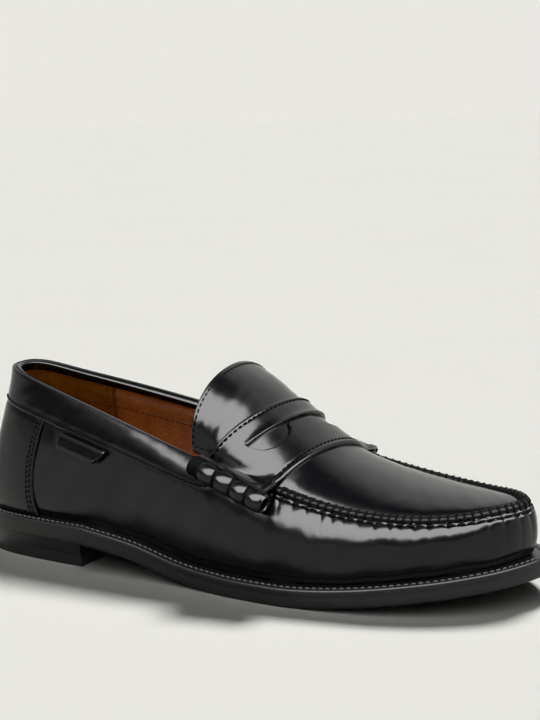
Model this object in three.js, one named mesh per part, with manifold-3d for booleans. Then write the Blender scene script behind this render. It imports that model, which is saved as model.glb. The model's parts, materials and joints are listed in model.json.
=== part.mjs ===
// Slip-on penny loafer, right foot, in millimetres. +X runs from heel to toe, +Z is up,
// the outer side of the foot is at -Y.
import * as THREE from 'three';
import { mergeVertices } from 'three/addons/utils/BufferGeometryUtils.js';
import Module from 'manifold-3d';

// Overall sizes
const LENGTH = 303;          // outsole, heel back to toe tip
const WIDTH = 104.7;         // outsole across the ball of the foot
const BACK = 95.5;           // topline above the floor at the heel back
const INSTEP = 102;          // top of the tongue above the floor

// Clearances
const GAP = 0.3;             // between two neighbouring pieces
const THREAD_GAP = 0.15;     // between a thread and what it lies on

// Upper
const UPPER = 1.2;           // outer leather
const STIFFENER = 1.1;       // counter, toe puff and side backing
const LINING = 1.0;          // lining leather
const OVERLAY = 1.1;         // heel foxing and saddle strap
const COLLAR = 1.0;          // folded collar band
const COLLAR_WIDTH = 18.5;   // collar band below the topline, outside, at the heel
const COLLAR_NARROW = 3.6;   // less than that at its front end
const COLLAR_FOLD = 4.5;     // collar band below the topline, inside
const SEAM_LIP = 2.2;        // height of the turned-up apron seam
const STIFF_FREE = 12;       // stiffeners stop this far below the topline
const REACH = 6.5;           // welt left showing outside the upper

// Sole and heel
const OUTSOLE = 5.2;
const WELT = 3.4;
const WELT_WIDTH = 12.5;
const INSOLE = 2.2;
const SOCK = 1.2;
const SHANK = 1.5;
const SHANK_WIDTH = 14;
const TOP_LIFT = 6;
const HEEL_TOP = 12;         // underside of the outsole over the heel
const HEEL_PITCH = 1.8;      // heel back leans in by this at the floor

// Rolls that end the strap
const ROLL = 5.4;            // radius
const ROLL_DROP = 5.5;       // rear end below the seam
const ROLL_TILT = 5;         // front end lower than that
const ROLL_RANGE = { lateral: [6.12, 7.55], medial: [6.45, 8] };
const ROLL_PARTS = 5;        // bulges between thread wraps
const ROLL_GROOVE = 1.9;     // width left for one wrap
const WRAP = 0.45;           // half thickness of a wrap

// Folded tab under the collar
const TAB = { length: 31, drop: 9, thick: 3.4, ply: 1.1, stand: 0.4, fromFoxing: 14.5 };
const STITCH = 0.45;         // thread radius

// Shape of the last. Each list runs heel back to toe tip at thirteen equal steps.
const STEPS = 13;
const byLength = (list) => list.map((v) => (v * LENGTH) / 303);
const byWidth = (list) => list.map((v) => (v * WIDTH) / 104.7);
const byBack = (list) => list.map((v) => (v * BACK) / 95.5);
const SOLE_X = byLength([0, 6, 18, 40, 75, 110, 145, 175, 200, 225, 250, 273, 292, 303]);
const SOLE_OUT = byWidth([0, 20.9, 28.9, 34, 38.5, 41.6, 48, 53.2, 54.7, 52.3, 46, 35.5, 19.2, -4.2]);
const SOLE_IN = byWidth([0, 20.5, 28.5, 33, 34.5, 32, 35, 42, 47.5, 50, 48.5, 41.5, 27.5, 4.2]);
const RIM_X = byLength([15, 18, 27, 46, 77, 109, 142, 171, 197, 222, 247, 268, 285, 293]);
const RIM_HALF = byWidth([0, 8.5, 14, 18.5, 24.5, 30.5, 34.5, 36, 37, 36, 32, 25, 14, 0]);
const RIM_MID = byWidth([0, 0, 0, 0, 0, 0, 0, -1, -1, -1, -1, 0, 1, 2]);
const RIM_Z = byBack([95.5, 95, 92.5, 87.5, 79.5, 71, 61.5, 54, 47.5, 42.5, 40.5, 41, 43.5, 44.5]);
const RIM_RISE = byBack([0, 0.5, 1.5, 2, 3, 3.5, 4, 5, 5, 5, 4, 2.5, 1, 0]);
const LOW_OUT = byWidth([8, 7, 5, 4, 3, 3, 3, 4, 5, 5, 5, 4.5, 3.5, 3]);
const LOW_UP = byBack([22, 22, 20, 18, 16, 14, 13, 12, 11, 11, 11, 11, 11, 11]);
const HIGH_OUT = byWidth([3, 3, 4, 6, 8, 9, 11, 12, 12, 12, 12, 10, 7, 5]);
const HIGH_UP = byBack([-24, -24, -22, -20, -16, -12, -6, -3, -1, 0, 0, 0, 0, 0]);

// Apron and tongue, tongue edge to toe: where each crossing line starts on the outer and the
// inner rim, its middle point, and how far its shoulders draw in
const CROSS_OUT = [5.95, 6.05, 6.19, 6.82, 7.56, 8.05, 9, 10, 11, 12, 13];
const CROSS_IN = [6, 6.2, 6.5, 7.25, 8.06, 8.5, 9.2, 10.05, 11, 12, 13];
const CROSS_X = byLength([144, 157, 168.6, 182, 197, 212, 231, 250, 269, 285, 293]);
const CROSS_Z = byBack([102, 93.6, 84, 73, 63, 57, 52, 48.8, 47, 46, 44.5])
  .map((v, i) => v + (INSTEP - 102) * Math.max(0, 1 - i / 4));
const CROSS_FULL = [-0.34, -0.28, -0.2, -0.03, 0.18, 0.24, 0.28, 0.28, 0.28, 0.28, 0.28];
const STRAP = [0.2, 0.4];    // rear and front edge of the saddle strap on that grid

// Underside of the outsole from the heel breast forwards, one value every tenth of the length
const ARCH_STEP = (30 * LENGTH) / 303;
const ARCH = [HEEL_TOP, 8, 2.2, 0, 0, 2, 5.4, 9.3, 13.5];
const SOLE_STACK = OUTSOLE + WELT + 2 * GAP;

const V = (x, y, z) => new THREE.Vector3(x, y, z);
const span = (a, b, n) => Array.from({ length: n + 1 }, (_, i) => a + ((b - a) * i) / n);
const ease = (a, b, x) => {
  const u = Math.min(1, Math.max(0, (x - a) / (b - a)));
  return u * u * (3 - 2 * u);
};

// Smooth curve through equally spaced values, open or closed
function spline(list, closed) {
  const n = list.length;
  const at = (i) => (closed ? list[((i % n) + n) % n] : list[Math.min(n - 1, Math.max(0, i))]);
  const slope = (i) => (at(i + 1) - at(i - 1)) / (closed || (i > 0 && i < n - 1) ? 2 : 1);
  return (x) => {
    const w = x * (closed ? n : n - 1);
    const i = closed ? Math.floor(w) : Math.min(n - 2, Math.max(0, Math.floor(w)));
    const u = w - i;
    const v = u * u * (3 - 2 * u);
    return at(i) * (1 - v) + at(i + 1) * v
      + u * (1 - u) * ((1 - u) * slope(i) - u * slope(i + 1));
  };
}

// A ring starts at the heel back, runs along the outer side to the toe and returns inside
const ring = (outer, inner) => spline([...outer, ...inner.slice(1, -1).reverse()], true);
const minus = (list) => list.map((v) => -v);
const plus = (a, b) => a.map((v, i) => v + b[i]);
const outerAt = (step) => step / (2 * STEPS);
const stepOf = (s) => {
  const u = (((s % 1) + 1) % 1) * 2 * STEPS;
  return u > STEPS ? 2 * STEPS - u : u;
};
const edgeX = ring(SOLE_X, SOLE_X);
const edgeY = ring(minus(SOLE_OUT), SOLE_IN);
const rimX = ring(RIM_X, RIM_X);
const rimY = ring(plus(RIM_MID, minus(RIM_HALF)), plus(RIM_MID, RIM_HALF));
const rimZ = ring(RIM_Z, plus(RIM_Z, RIM_RISE));
const lowOut = ring(LOW_OUT, LOW_OUT);
const lowUp = ring(LOW_UP, LOW_UP);
const highOut = ring(HIGH_OUT, HIGH_OUT);
const highUp = ring(HIGH_UP, HIGH_UP);
const archAt = spline(ARCH, false);
const crossOut = spline(CROSS_OUT, false);
const crossIn = spline(CROSS_IN, false);
const crossFull = spline(CROSS_FULL, false);
const crossX = spline(CROSS_X, false);
const crossZ = spline(CROSS_Z, false);

function underside(x) {
  const u = (x - SOLE_X[4]) / (ARCH_STEP * (ARCH.length - 1));
  return u <= 0 ? HEEL_TOP : Math.max(0, archAt(u));
}

function planOut(fx, fy, s) {
  const e = 1e-3;
  return V(fy(s + e) - fy(s - e), fx(s - e) - fx(s + e), 0).normalize();
}

function edge(s, inset, height) {
  const n = planOut(edgeX, edgeY, s);
  const x = edgeX(s) - n.x * inset;
  return V(x, edgeY(s) - n.y * inset, underside(x) + height);
}

const rim = (s) => V(rimX(s), rimY(s), rimZ(s));

function bezier(a, b, c, d, u) {
  const v = 1 - u;
  return V(0, 0, 0).addScaledVector(a, v * v * v).addScaledVector(b, 3 * v * v * u)
    .addScaledVector(c, 3 * v * u * u).addScaledVector(d, u * u * u);
}

// Side wall of the upper: s around the shoe, h from the welt (0) to the rim (1)
function wall(s, h) {
  const n = planOut(edgeX, edgeY, s);
  const foot = edge(s, REACH, SOLE_STACK);
  const head = rim(s);
  const low = foot.clone().addScaledVector(n, lowOut(s)).add(V(0, 0, lowUp(s)));
  const high = head.clone().addScaledVector(n, highOut(s)).add(V(0, 0, highUp(s)));
  return bezier(foot, low, high, head, h);
}

// Top of the shoe: v from the tongue edge (0) to the toe (1), w from outer to inner rim
function cross(v, w) {
  const a = rim(outerAt(crossOut(v)));
  const b = rim(1 - outerAt(crossIn(v)));
  const mid = a.clone().add(b).multiplyScalar(0.5);
  const rise = V(crossX(v), mid.y, crossZ(v)).sub(mid).multiplyScalar(4 / 3);
  const q = crossFull(v);
  const width = b.clone().sub(a);
  return bezier(a, a.clone().add(rise).addScaledVector(width, q),
    b.clone().add(rise).addScaledVector(width, -q), b, w);
}

// Point on a surface moved along its outward normal
function lifted(surface, u, v, off) {
  const e = 1e-3;
  const v0 = Math.max(0, v - e);
  const v1 = Math.min(1, v + e);
  const du = surface(u + e, v).sub(surface(u - e, v));
  const dv = surface(u, v1).sub(surface(u, v0));
  return surface(u, v).addScaledVector(du.cross(dv).normalize(), off);
}
const skin = (s, h, off) => lifted(wall, s, h, off);
const roof = (v, w, off) => lifted(cross, Math.min(0.998, Math.max(0.002, v)), w, off);

// Parameter at a measured distance from the end of a surface line
function measured(line, distance) {
  let left = distance;
  let last = line(0);
  for (let i = 1; i <= 48; i += 1) {
    const next = line(i / 48);
    const step = next.distanceTo(last);
    if (step >= left) return (i - 1 + left / step) / 48;
    left -= step;
    last = next;
  }
  return 1;
}
const below = (s, distance) => 1 - measured((u) => wall(s, 1 - u), distance);
const inward = (v, distance) => measured((u) => cross(v, u), distance);
const outward = (v, distance) => 1 - measured((u) => cross(v, 1 - u), distance);

// Closed body from triangles given as corner triples
function body(triangles) {
  const geometry = new THREE.BufferGeometry();
  geometry.setAttribute('position', new THREE.Float32BufferAttribute(
    triangles.flatMap((t) => t.flatMap((p) => [p.x, p.y, p.z])), 3));
  const merged = mergeVertices(geometry, 1e-3);
  const index = [];
  for (let i = 0; i < merged.index.count; i += 3) {
    const [a, b, c] = [0, 1, 2].map((k) => merged.index.getX(i + k));
    if (a !== b && b !== c && c !== a) index.push(a, b, c);
  }
  merged.setIndex(index);
  merged.computeVertexNormals();
  return merged;
}

// Closed body between two matching grids; the outer grid faces along first x second direction
function between(outer, inner, closed) {
  const out = [];
  const quad = (a, b, c, d) => out.push([a, b, c], [a, c, d]);
  const n = outer.length;
  const m = outer[0].length - 1;
  for (let i = 0; i < (closed ? n : n - 1); i += 1) {
    const k = (i + 1) % n;
    for (let j = 0; j < m; j += 1) {
      quad(outer[i][j], outer[k][j], outer[k][j + 1], outer[i][j + 1]);
      quad(inner[i][j], inner[i][j + 1], inner[k][j + 1], inner[k][j]);
    }
    quad(inner[i][0], inner[k][0], outer[k][0], outer[i][0]);
    quad(outer[i][m], outer[k][m], inner[k][m], inner[i][m]);
  }
  if (!closed) {
    for (let j = 0; j < m; j += 1) {
      quad(outer[0][j], outer[0][j + 1], inner[0][j + 1], inner[0][j]);
      quad(inner[n - 1][j], inner[n - 1][j + 1], outer[n - 1][j + 1], outer[n - 1][j]);
    }
  }
  return body(out);
}

// Grid moved along its normals, keeping full thickness round corners of its second direction
function moved(grid, off) {
  const n = grid.length;
  return grid.map((line, i) => line.map((p, j) => {
    const along = grid[Math.min(n - 1, i + 1)][j].clone().sub(grid[Math.max(0, i - 1)][j]);
    const a = line[Math.max(0, j - 1)];
    const b = line[Math.min(line.length - 1, j + 1)];
    const first = along.clone().cross(j ? p.clone().sub(a) : b.clone().sub(p)).normalize();
    const second = along.cross(b === p ? p.clone().sub(a) : b.clone().sub(p)).normalize();
    const share = 1 + first.dot(second);
    return p.clone().addScaledVector(first.add(second), off / share);
  }));
}

const grid = (columns, rows, point) => columns.map((u) => rows(u).map((v) => point(u, v)));

// Shared columns round the shoe, two to a step, and shared rows up the wall
function columns(from, to) {
  const steps = [];
  for (let k = Math.floor(from * 4 * STEPS) + 1; k < to * 4 * STEPS - 0.01; k += 1) {
    if (k - from * 4 * STEPS > 0.1) steps.push(k / (4 * STEPS));
  }
  return [from, ...steps, to];
}
const collarWidth = (s) => COLLAR_WIDTH - COLLAR_NARROW * ease(1.5, 6.5, stepOf(s));
const lowRows = (s) => span(0, below(s, COLLAR_WIDTH + GAP), 4);
const HIGH_ROWS = [STIFF_FREE, 9, 6, 3];

// Panel of the side wall between two offsets
function panel(columns, rows, inner, outer) {
  return between(grid(columns, rows, (s, h) => skin(s, h, outer(s, h))),
    grid(columns, rows, (s, h) => skin(s, h, inner(s, h))), false);
}

// Level layer that follows the underside of the shoe
function layer(steps, topInset, lowInset, top, low) {
  const line = (inset, height) => steps.map((t) => {
    const a = edge(outerAt(t), inset(t), height);
    const b = edge(1 - outerAt(t), inset(t), height);
    return span(0, 1, 4).map((w) => a.clone().lerp(b, w));
  });
  return between(line(topInset, top), line(lowInset, low), false);
}

// Round cord along points, each with a side direction; radii may vary along it
function cord(points, sides, radii, corners, closed) {
  const n = points.length;
  const hoops = points.map((p, i) => {
    const a = points[closed ? (i + n - 1) % n : Math.max(0, i - 1)];
    const b = points[closed ? (i + 1) % n : Math.min(n - 1, i + 1)];
    const along = b.clone().sub(a).normalize();
    const up = sides[i].clone().addScaledVector(along, -sides[i].dot(along)).normalize();
    const flat = along.clone().cross(up);
    return span(0, 1, corners).slice(0, -1).map((f) => p.clone()
      .addScaledVector(up, radii[i] * Math.cos(2 * Math.PI * f))
      .addScaledVector(flat, radii[i] * Math.sin(2 * Math.PI * f)));
  });
  const out = [];
  for (let i = 0; i < (closed ? n : n - 1); i += 1) {
    const k = (i + 1) % n;
    for (let j = 0; j < corners; j += 1) {
      const l = (j + 1) % corners;
      out.push([hoops[i][j], hoops[i][l], hoops[k][l]], [hoops[i][j], hoops[k][l], hoops[k][j]]);
    }
  }
  if (!closed) {
    for (let j = 0; j < corners; j += 1) {
      const l = (j + 1) % corners;
      out.push([points[0], hoops[0][l], hoops[0][j]]);
      out.push([points[n - 1], hoops[n - 1][j], hoops[n - 1][l]]);
    }
  }
  return body(out);
}

const wasm = await Module();
wasm.setup();
function solid(geometry) {
  return new wasm.Manifold(new wasm.Mesh({
    numProp: 3,
    vertProperties: Float32Array.from(geometry.attributes.position.array),
    triVerts: Uint32Array.from(geometry.index.array),
  }));
}
function shape(manifold) {
  const mesh = manifold.getMesh();
  const corner = (i) => V(...[0, 1, 2].map((k) => mesh.vertProperties[i * mesh.numProp + k]));
  const out = [];
  for (let i = 0; i < mesh.triVerts.length; i += 3) {
    out.push([0, 1, 2].map((k) => corner(mesh.triVerts[i + k])));
  }
  return body(out);
}

const BLACK = { color: 0x15140f, roughness: 0.25, metalness: 0 };
const BLACK_EDGE = { color: 0x1b1a18, roughness: 0.55, metalness: 0 };
const TAN = { color: 0xa9642c, roughness: 0.65, metalness: 0 };
const SUEDE = { color: 0x8d6a35, roughness: 0.95, metalness: 0 };
const BOARD = { color: 0xb59a72, roughness: 0.9, metalness: 0 };
const CORK = { color: 0x9a6c3f, roughness: 0.95, metalness: 0 };
const CLOTH = { color: 0xcfc7b4, roughness: 0.95, metalness: 0 };
const STEEL = { color: 0x9a9ca0, roughness: 0.35, metalness: 1 };
const RUBBER = { color: 0x141414, roughness: 0.6, metalness: 0 };
const THREAD = { color: 0x1d1b19, roughness: 0.7, metalness: 0 };

const group = new THREE.Group();
group.name = 'penny_loafer';
function add(name, geometry, look) {
  const mesh = new THREE.Mesh(geometry, new THREE.MeshStandardMaterial(look));
  mesh.name = name;
  group.add(mesh);
}

// Vamp and quarters in one, closed by a seam at the heel back, with a turned-up apron seam
const seamShare = (s) => ease(7, 8, stepOf(s));
function crossOf(stepAt, step) {
  let low = 0;
  let high = 1;
  for (let i = 0; i < 20; i += 1) {
    const mid = (low + high) / 2;
    if (stepAt(mid) < step) low = mid; else high = mid;
  }
  return low;
}
function ridge(s) {
  const inner = ((s % 1) + 1) % 1 >= 0.5;
  const v = crossOf(inner ? crossIn : crossOut, stepOf(s));
  const w = inner ? 1 : 0;
  const roofOut = roof(v, w, 1).sub(roof(v, w, 0));
  return skin(s, 1, 1).sub(wall(s, 1)).add(roofOut).normalize();
}
const vampGrid = columns(0.002, 0.998).map((s) => {
  const k = seamShare(s);
  const high = [...HIGH_ROWS, 0.6 * (1 - k)].map((d) => below(s, d));
  const rows = [...lowRows(s), ...high].map((h) => wall(s, h));
  return [...rows, rim(s).addScaledVector(ridge(s), SEAM_LIP * k)];
});
add('vamp', between(vampGrid, moved(vampGrid, -UPPER), false), BLACK);

// Stiffeners between upper and lining
const stiffOut = () => -UPPER - GAP;
const stiffIn = () => -UPPER - GAP - STIFFENER;
const stiffRows = (s) => [...lowRows(s), below(s, STIFF_FREE)];
const stiff = (from, to) => panel(columns(from, to), stiffRows, stiffIn, stiffOut);
const HEEL_ZONE = outerAt(3.5);
const TOE_ZONE = outerAt(10.5);
const SEAM = 0.0005;
add('heel_counter', stiff(-HEEL_ZONE, HEEL_ZONE), BOARD);
add('toe_puff', stiff(TOE_ZONE, 1 - TOE_ZONE), BOARD);
add('side_backing_lateral', stiff(HEEL_ZONE + SEAM, TOE_ZONE - SEAM), CLOTH);
add('side_backing_medial', stiff(1 - TOE_ZONE + SEAM, 1 - HEEL_ZONE - SEAM), CLOTH);

// Linings; they close up to the outer leather towards the topline
function liningOut(s, h) {
  const down = wall(s, h).distanceTo(rim(s));
  return -UPPER - GAP - (STIFFENER + GAP) * ease(5, 11, down);
}
const liningIn = (s, h) => liningOut(s, h) - LINING;
const liningRows = (s) => [...lowRows(s), ...HIGH_ROWS.slice(0, -1).map((d) => below(s, d)),
  below(s, 0.5 + 2.5 * ease(6.5, 7.5, stepOf(s)))];
const lined = (from, to) => panel(columns(from, to), liningRows, liningIn, liningOut);
const QUARTER_END = outerAt(6.5);
add('heel_grip_lining', lined(-HEEL_ZONE, HEEL_ZONE), SUEDE);
add('quarter_lining_lateral', lined(HEEL_ZONE + SEAM, QUARTER_END), TAN);
add('quarter_lining_medial', lined(1 - QUARTER_END, 1 - HEEL_ZONE - SEAM), TAN);
add('vamp_lining', lined(QUARTER_END + SEAM, 1 - QUARTER_END - SEAM), TAN);

// Apron with tongue, and its lining
const foldInner = UPPER + LINING + 2.5 * GAP;
const besideCollar = foldInner + COLLAR + 2 * GAP;
const besideLip = UPPER + 3 * GAP;
function rimInset(step, extra) {
  const n = planOut(rimX, rimY, outerAt(step));
  const clear = besideCollar + (besideLip - besideCollar) * ease(6.05, 6.7, step);
  return (clear + extra) / Math.max(0.4, Math.abs(n.y));
}
const crossRows = (extra, n) => (v) =>
  span(inward(v, rimInset(crossOut(v), extra)), outward(v, rimInset(crossIn(v), extra)), n);
function top(lines, rows, inner, outer) {
  return between(grid(lines, rows, (v, w) => roof(v, w, outer)),
    grid(lines, rows, (v, w) => roof(v, w, inner)), false);
}
const TOE_END = 0.948;
const strapLines = span(STRAP[0], STRAP[1], 5);
const apronLines = [...span(0, STRAP[0], 4).slice(0, -1), ...strapLines,
  ...span(STRAP[1], 0.9, 10).slice(1), TOE_END];
add('apron', top(apronLines, crossRows(0, 12), -UPPER, 0), BLACK);
add('apron_lining', top(apronLines.slice(0, -1), crossRows(0.8, 12),
  -UPPER - GAP - LINING, -UPPER - GAP), TAN);

// Heel foxing below the collar
const FOX_ZONE = 3.07;
const foxEdge = (f) => FOX_ZONE - 0.48 * f * (1 - f);
const foxGrid = (off) => span(-1, 1, 20).map((c) => span(0, 1, 4).map((f) => {
  const s = c * outerAt(foxEdge(f));
  return skin(s, 0.02 + f * (below(s, COLLAR_WIDTH + GAP) - 0.02), off);
}));
add('heel_foxing', between(foxGrid(GAP + OVERLAY), foxGrid(GAP), false), BLACK);

// Collar band: folded over the topline, its rounded ends lie on the vamp under the rolls
const FOLD_END = 5.9;
const COLLAR_END = 6.5;
function collarLine(s) {
  const high = below(s, GAP);
  const up = rim(s).sub(wall(s, high)).normalize().multiplyScalar(GAP + 0.1);
  return [
    ...[collarWidth(s), ...HIGH_ROWS].map((d) => skin(s, below(s, d), GAP)),
    skin(s, 1, GAP).add(up), skin(s, 1, -foldInner).add(up),
    skin(s, below(s, COLLAR_FOLD), -foldInner),
  ];
}
const collarGrid = columns(-outerAt(FOLD_END), outerAt(FOLD_END)).map(collarLine);
const fold = between(moved(collarGrid, COLLAR), collarGrid, false);
function collarEnd(side) {
  const steps = [FOLD_END - 0.5, ...span(FOLD_END, COLLAR_END, 3)];
  const rows = (s) => {
    const f = Math.max(0, (stepOf(s) - FOLD_END) / (COLLAR_END - FOLD_END));
    const low = collarWidth(s) - 0.2 - (collarWidth(s) - 8) * f ** 3;
    return span(low, 1.4, 6).map((d) => below(s, d));
  };
  const range = steps.map((t) => (side < 0 ? outerAt(t) : -outerAt(t)));
  if (side > 0) range.reverse();
  return panel(range, rows, () => GAP + 0.2, () => GAP + COLLAR - 0.15);
}
add('collar_band',
  shape(solid(fold).add(solid(collarEnd(-1))).add(solid(collarEnd(1)))), BLACK);

// Strap rolls with their thread wraps
const rollRange = (side) => (side < 0 ? ROLL_RANGE.lateral : ROLL_RANGE.medial);
function rollPoint(side, f) {
  const [from, to] = rollRange(side);
  const s = outerAt(from + f * (to - from)) * (side < 0 ? 1 : -1);
  const h = below(s, ROLL_DROP + ROLL_TILT * f);
  const p = skin(s, h, GAP + (COLLAR + 2 * GAP) * (1 - ease(0.3, 0.6, f)) + ROLL);
  return { p, side: p.clone().sub(wall(s, h)).normalize() };
}
for (const [side, label] of [[-1, 'lateral'], [1, 'medial']]) {
  const rollLength = rollPoint(side, 0).p.distanceTo(rollPoint(side, 1).p);
  const groove = ROLL_GROOVE / rollLength / 2;
  const stations = [];
  for (let k = 0; k < ROLL_PARTS; k += 1) {
    const a = k / ROLL_PARTS + (k ? groove : 0);
    const b = (k + 1) / ROLL_PARTS - (k < ROLL_PARTS - 1 ? groove : 0);
    stations.push([a, 0.86], [a + (b - a) * 0.25, 1], [b - (b - a) * 0.25, 1], [b, 0.86]);
  }
  const at = stations.map(([f]) => rollPoint(side, f));
  add(`beef_roll_${label}`, cord(at.map((q) => q.p), at.map((q) => q.side),
    stations.map(([, r]) => r * ROLL), 12, false), BLACK);
  for (let k = 1; k < ROLL_PARTS; k += 1) {
    const q = rollPoint(side, k / ROLL_PARTS);
    const along = rollPoint(side, k / ROLL_PARTS + 0.01).p.sub(q.p).normalize();
    const up = q.side.clone().addScaledVector(along, -q.side.dot(along)).normalize();
    const flat = along.clone().cross(up);
    const reach = 0.86 * ROLL + THREAD_GAP + WRAP;
    const hoop = span(0, 1, 12).slice(0, -1).map((f) => up.clone()
      .multiplyScalar(Math.cos(2 * Math.PI * f)).addScaledVector(flat, Math.sin(2 * Math.PI * f)));
    add(`roll_wrap_${label}_${k}`, cord(hoop.map((d) => q.p.clone().addScaledVector(d, reach)),
      hoop, hoop.map(() => WRAP), 4, true), THREAD);
  }
}

// Saddle strap: follows the apron, passes over the rim and ends against both rolls
function strapEnd(step, side) {
  const s = side < 0 ? outerAt(step) : -outerAt(step);
  const [from, to] = rollRange(side);
  const f = Math.min(1, Math.max(0, (step - from) / (to - from)));
  const centre = rollPoint(side, f).p;
  const over = skin(s, 1, 0).addScaledVector(ridge(s), 3 * GAP + SEAM_LIP * seamShare(s));
  const along = rollPoint(side, 1).p.sub(rollPoint(side, 0).p).normalize();
  const back = over.clone().sub(centre);
  back.addScaledVector(along, -back.dot(along));
  const reach = ROLL + 2 * GAP;
  const cosine = Math.min(0.98, reach / back.length());
  back.normalize();
  const rise = V(0, 0, 1).addScaledVector(back, -back.z);
  rise.addScaledVector(along, -rise.dot(along)).normalize();
  const touch = centre.clone().addScaledVector(back, reach * cosine)
    .addScaledVector(rise, reach * Math.sqrt(1 - cosine * cosine));
  return [touch, touch.clone().lerp(over, 0.5), over];
}
const strapGrid = strapLines.map((v) => [
  ...strapEnd(crossOut(v), -1),
  ...crossRows(0.6, 12)(v).map((w) => roof(v, w, GAP)),
  ...strapEnd(crossIn(v), 1).reverse(),
]);
const strap = between(moved(strapGrid, OVERLAY), strapGrid, false);
const slotEdge = STRAP[0] + 0.35 * (STRAP[1] - STRAP[0]);
const SLOT_FROM = 0.177;
const SLOT_TO = 0.9;
function lobe(x) {
  const u = Math.min(1, Math.min(x, 1 - x) / 0.34);
  return 0.005 + 0.042 * Math.sqrt(Math.max(0, Math.sin(Math.PI * u)));
}
const slotGrid = (off) => [0, 1].map((f) => span(0, 1, 16).map((x) =>
  roof(slotEdge + f * lobe(x), SLOT_FROM + x * (SLOT_TO - SLOT_FROM), off)));
const slot = between(slotGrid(GAP + OVERLAY + 1.5), slotGrid(GAP - 1.5), false);
add('saddle_strap', shape(solid(strap).subtract(solid(slot))), BLACK);

// Sole, from the welt down to the heel lift
const flat = (v) => () => v;
const whole = span(0, STEPS, 26);
const weltRing = span(0, 1, 52).slice(0, -1);
const weltLine = (height) => weltRing.map((s) => [0.4, WELT_WIDTH].map((d) => edge(s, d, height)));
add('welt', between(weltLine(OUTSOLE + GAP + WELT), weltLine(OUTSOLE + GAP), true), BLACK_EDGE);
add('outsole', layer(whole, flat(0), flat(0.3), OUTSOLE, 0), RUBBER);
const filled = flat(WELT_WIDTH + 0.4);
const half = (from, to) => columns(outerAt(from), outerAt(to)).map(stepOf);
add('cork_filler', layer(half(6.55, STEPS), filled, filled, OUTSOLE + WELT, OUTSOLE + GAP), CORK);
add('heel_filler', layer(span(0, 3, 6), filled, filled, OUTSOLE + WELT, OUTSOLE + GAP), CORK);
add('waist_filler',
  layer(half(3.05, 6.5), filled, filled, OUTSOLE + GAP + SHANK, OUTSOLE + GAP), CORK);
const shankLine = (height) => span(SOLE_X[3] + 6, SOLE_X[6] + 10, 8).map((x) =>
  [-0.5, 0.5].map((f) => V(x, f * SHANK_WIDTH, underside(x) + height)));
add('steel_shank', between(shankLine(OUTSOLE + 2 * GAP + 2 * SHANK),
  shankLine(OUTSOLE + 2 * GAP + SHANK), false), STEEL);
const board = flat(REACH + UPPER + STIFFENER + LINING + 2 * GAP + 1);
const sockInset = flat(REACH + UPPER + STIFFENER + LINING + 2 * GAP + 0.6);
add('insole_board', layer(whole, board, board, SOLE_STACK + INSOLE, SOLE_STACK), BOARD);
add('sock_liner', layer(whole, sockInset, sockInset,
  SOLE_STACK + INSOLE + GAP + SOCK, SOLE_STACK + INSOLE + GAP), TAN);
const heelSteps = half(0, 3.97);
const pitch = (t) => 0.9 + HEEL_PITCH * (1 - ease(0, 3, t));
const heelInset = (level) => (t) => 0.8 + pitch(t) * (1 - level / HEEL_TOP);
function lift(high, low) {
  return layer(heelSteps, heelInset(high), heelInset(low), high - HEEL_TOP, low - HEEL_TOP);
}
add('heel_base', lift(HEEL_TOP - GAP, TOP_LIFT + GAP), BLACK_EDGE);
add('top_lift', lift(TOP_LIFT, 0), RUBBER);

// Threads
const UP = V(0, 0, 1);
const weltThread = span(0, 1, 78).slice(0, -1).map((s) =>
  edge(s, REACH / 2, OUTSOLE + GAP + WELT + THREAD_GAP + STITCH));
add('welt_stitch_thread',
  cord(weltThread, weltThread.map(() => UP), weltThread.map(() => STITCH), 3, true), THREAD);
const seamRange = columns(outerAt(8), 1 - outerAt(8.5));
const seamThread = seamRange.map((s) => rim(s)
  .addScaledVector(planOut(rimX, rimY, s), -UPPER / 2)
  .addScaledVector(ridge(s), SEAM_LIP + THREAD_GAP + 2 * STITCH));
add('apron_seam_thread',
  cord(seamThread, seamThread.map(() => UP), seamThread.map(() => STITCH), 3, false), THREAD);
const collarRange = columns(-outerAt(5.9), outerAt(5.9));
const rowAt = (s) => below(s, collarWidth(s) - 2);
const collarThread = collarRange.map((s) =>
  skin(s, rowAt(s), GAP + COLLAR + THREAD_GAP + 2 * STITCH));
const collarSides = collarRange.map((s) => skin(s, rowAt(s), 1).sub(skin(s, rowAt(s), 0)));
add('collar_stitch_thread',
  cord(collarThread, collarSides, collarThread.map(() => STITCH), 3, false), THREAD);

// Folded tab that hangs from the collar seam on the outer side
const tabLine = (s) => below(s, collarWidth(s) + 0.8);
const foxFront = outerAt(foxEdge(1));
const tabRun = (f) => wall(foxFront + f * outerAt(2), tabLine(foxFront + f * outerAt(2)));
const tabSpot = foxFront + outerAt(2) * measured(tabRun, TAB.fromFoxing + TAB.length / 2);
const tabTop = skin(tabSpot, tabLine(tabSpot), TAB.stand + TAB.thick);
const tabOut = tabTop.clone().sub(skin(tabSpot, tabLine(tabSpot), 0)).normalize();
const ahead = tabSpot + outerAt(0.1);
const tabAlong = wall(ahead, tabLine(ahead)).sub(wall(tabSpot, tabLine(tabSpot)));
tabAlong.addScaledVector(tabOut, -tabAlong.dot(tabOut)).normalize();
const tabUp = tabAlong.clone().cross(tabOut).negate();
const loop = new THREE.Shape();
const hole = new THREE.Path();
function slotPath(path, half, from, to) {
  path.absarc(0, -to + half, half, Math.PI, 2 * Math.PI);
  path.absarc(0, -from - half, half, 0, Math.PI);
  path.closePath();
}
slotPath(loop, TAB.thick / 2, 0, TAB.drop);
slotPath(hole, TAB.thick / 2 - TAB.ply, TAB.ply, TAB.drop - TAB.ply);
loop.holes.push(hole);
const tabShape = new THREE.ExtrudeGeometry(loop,
  { depth: TAB.length, bevelEnabled: false, curveSegments: 6 });
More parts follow.
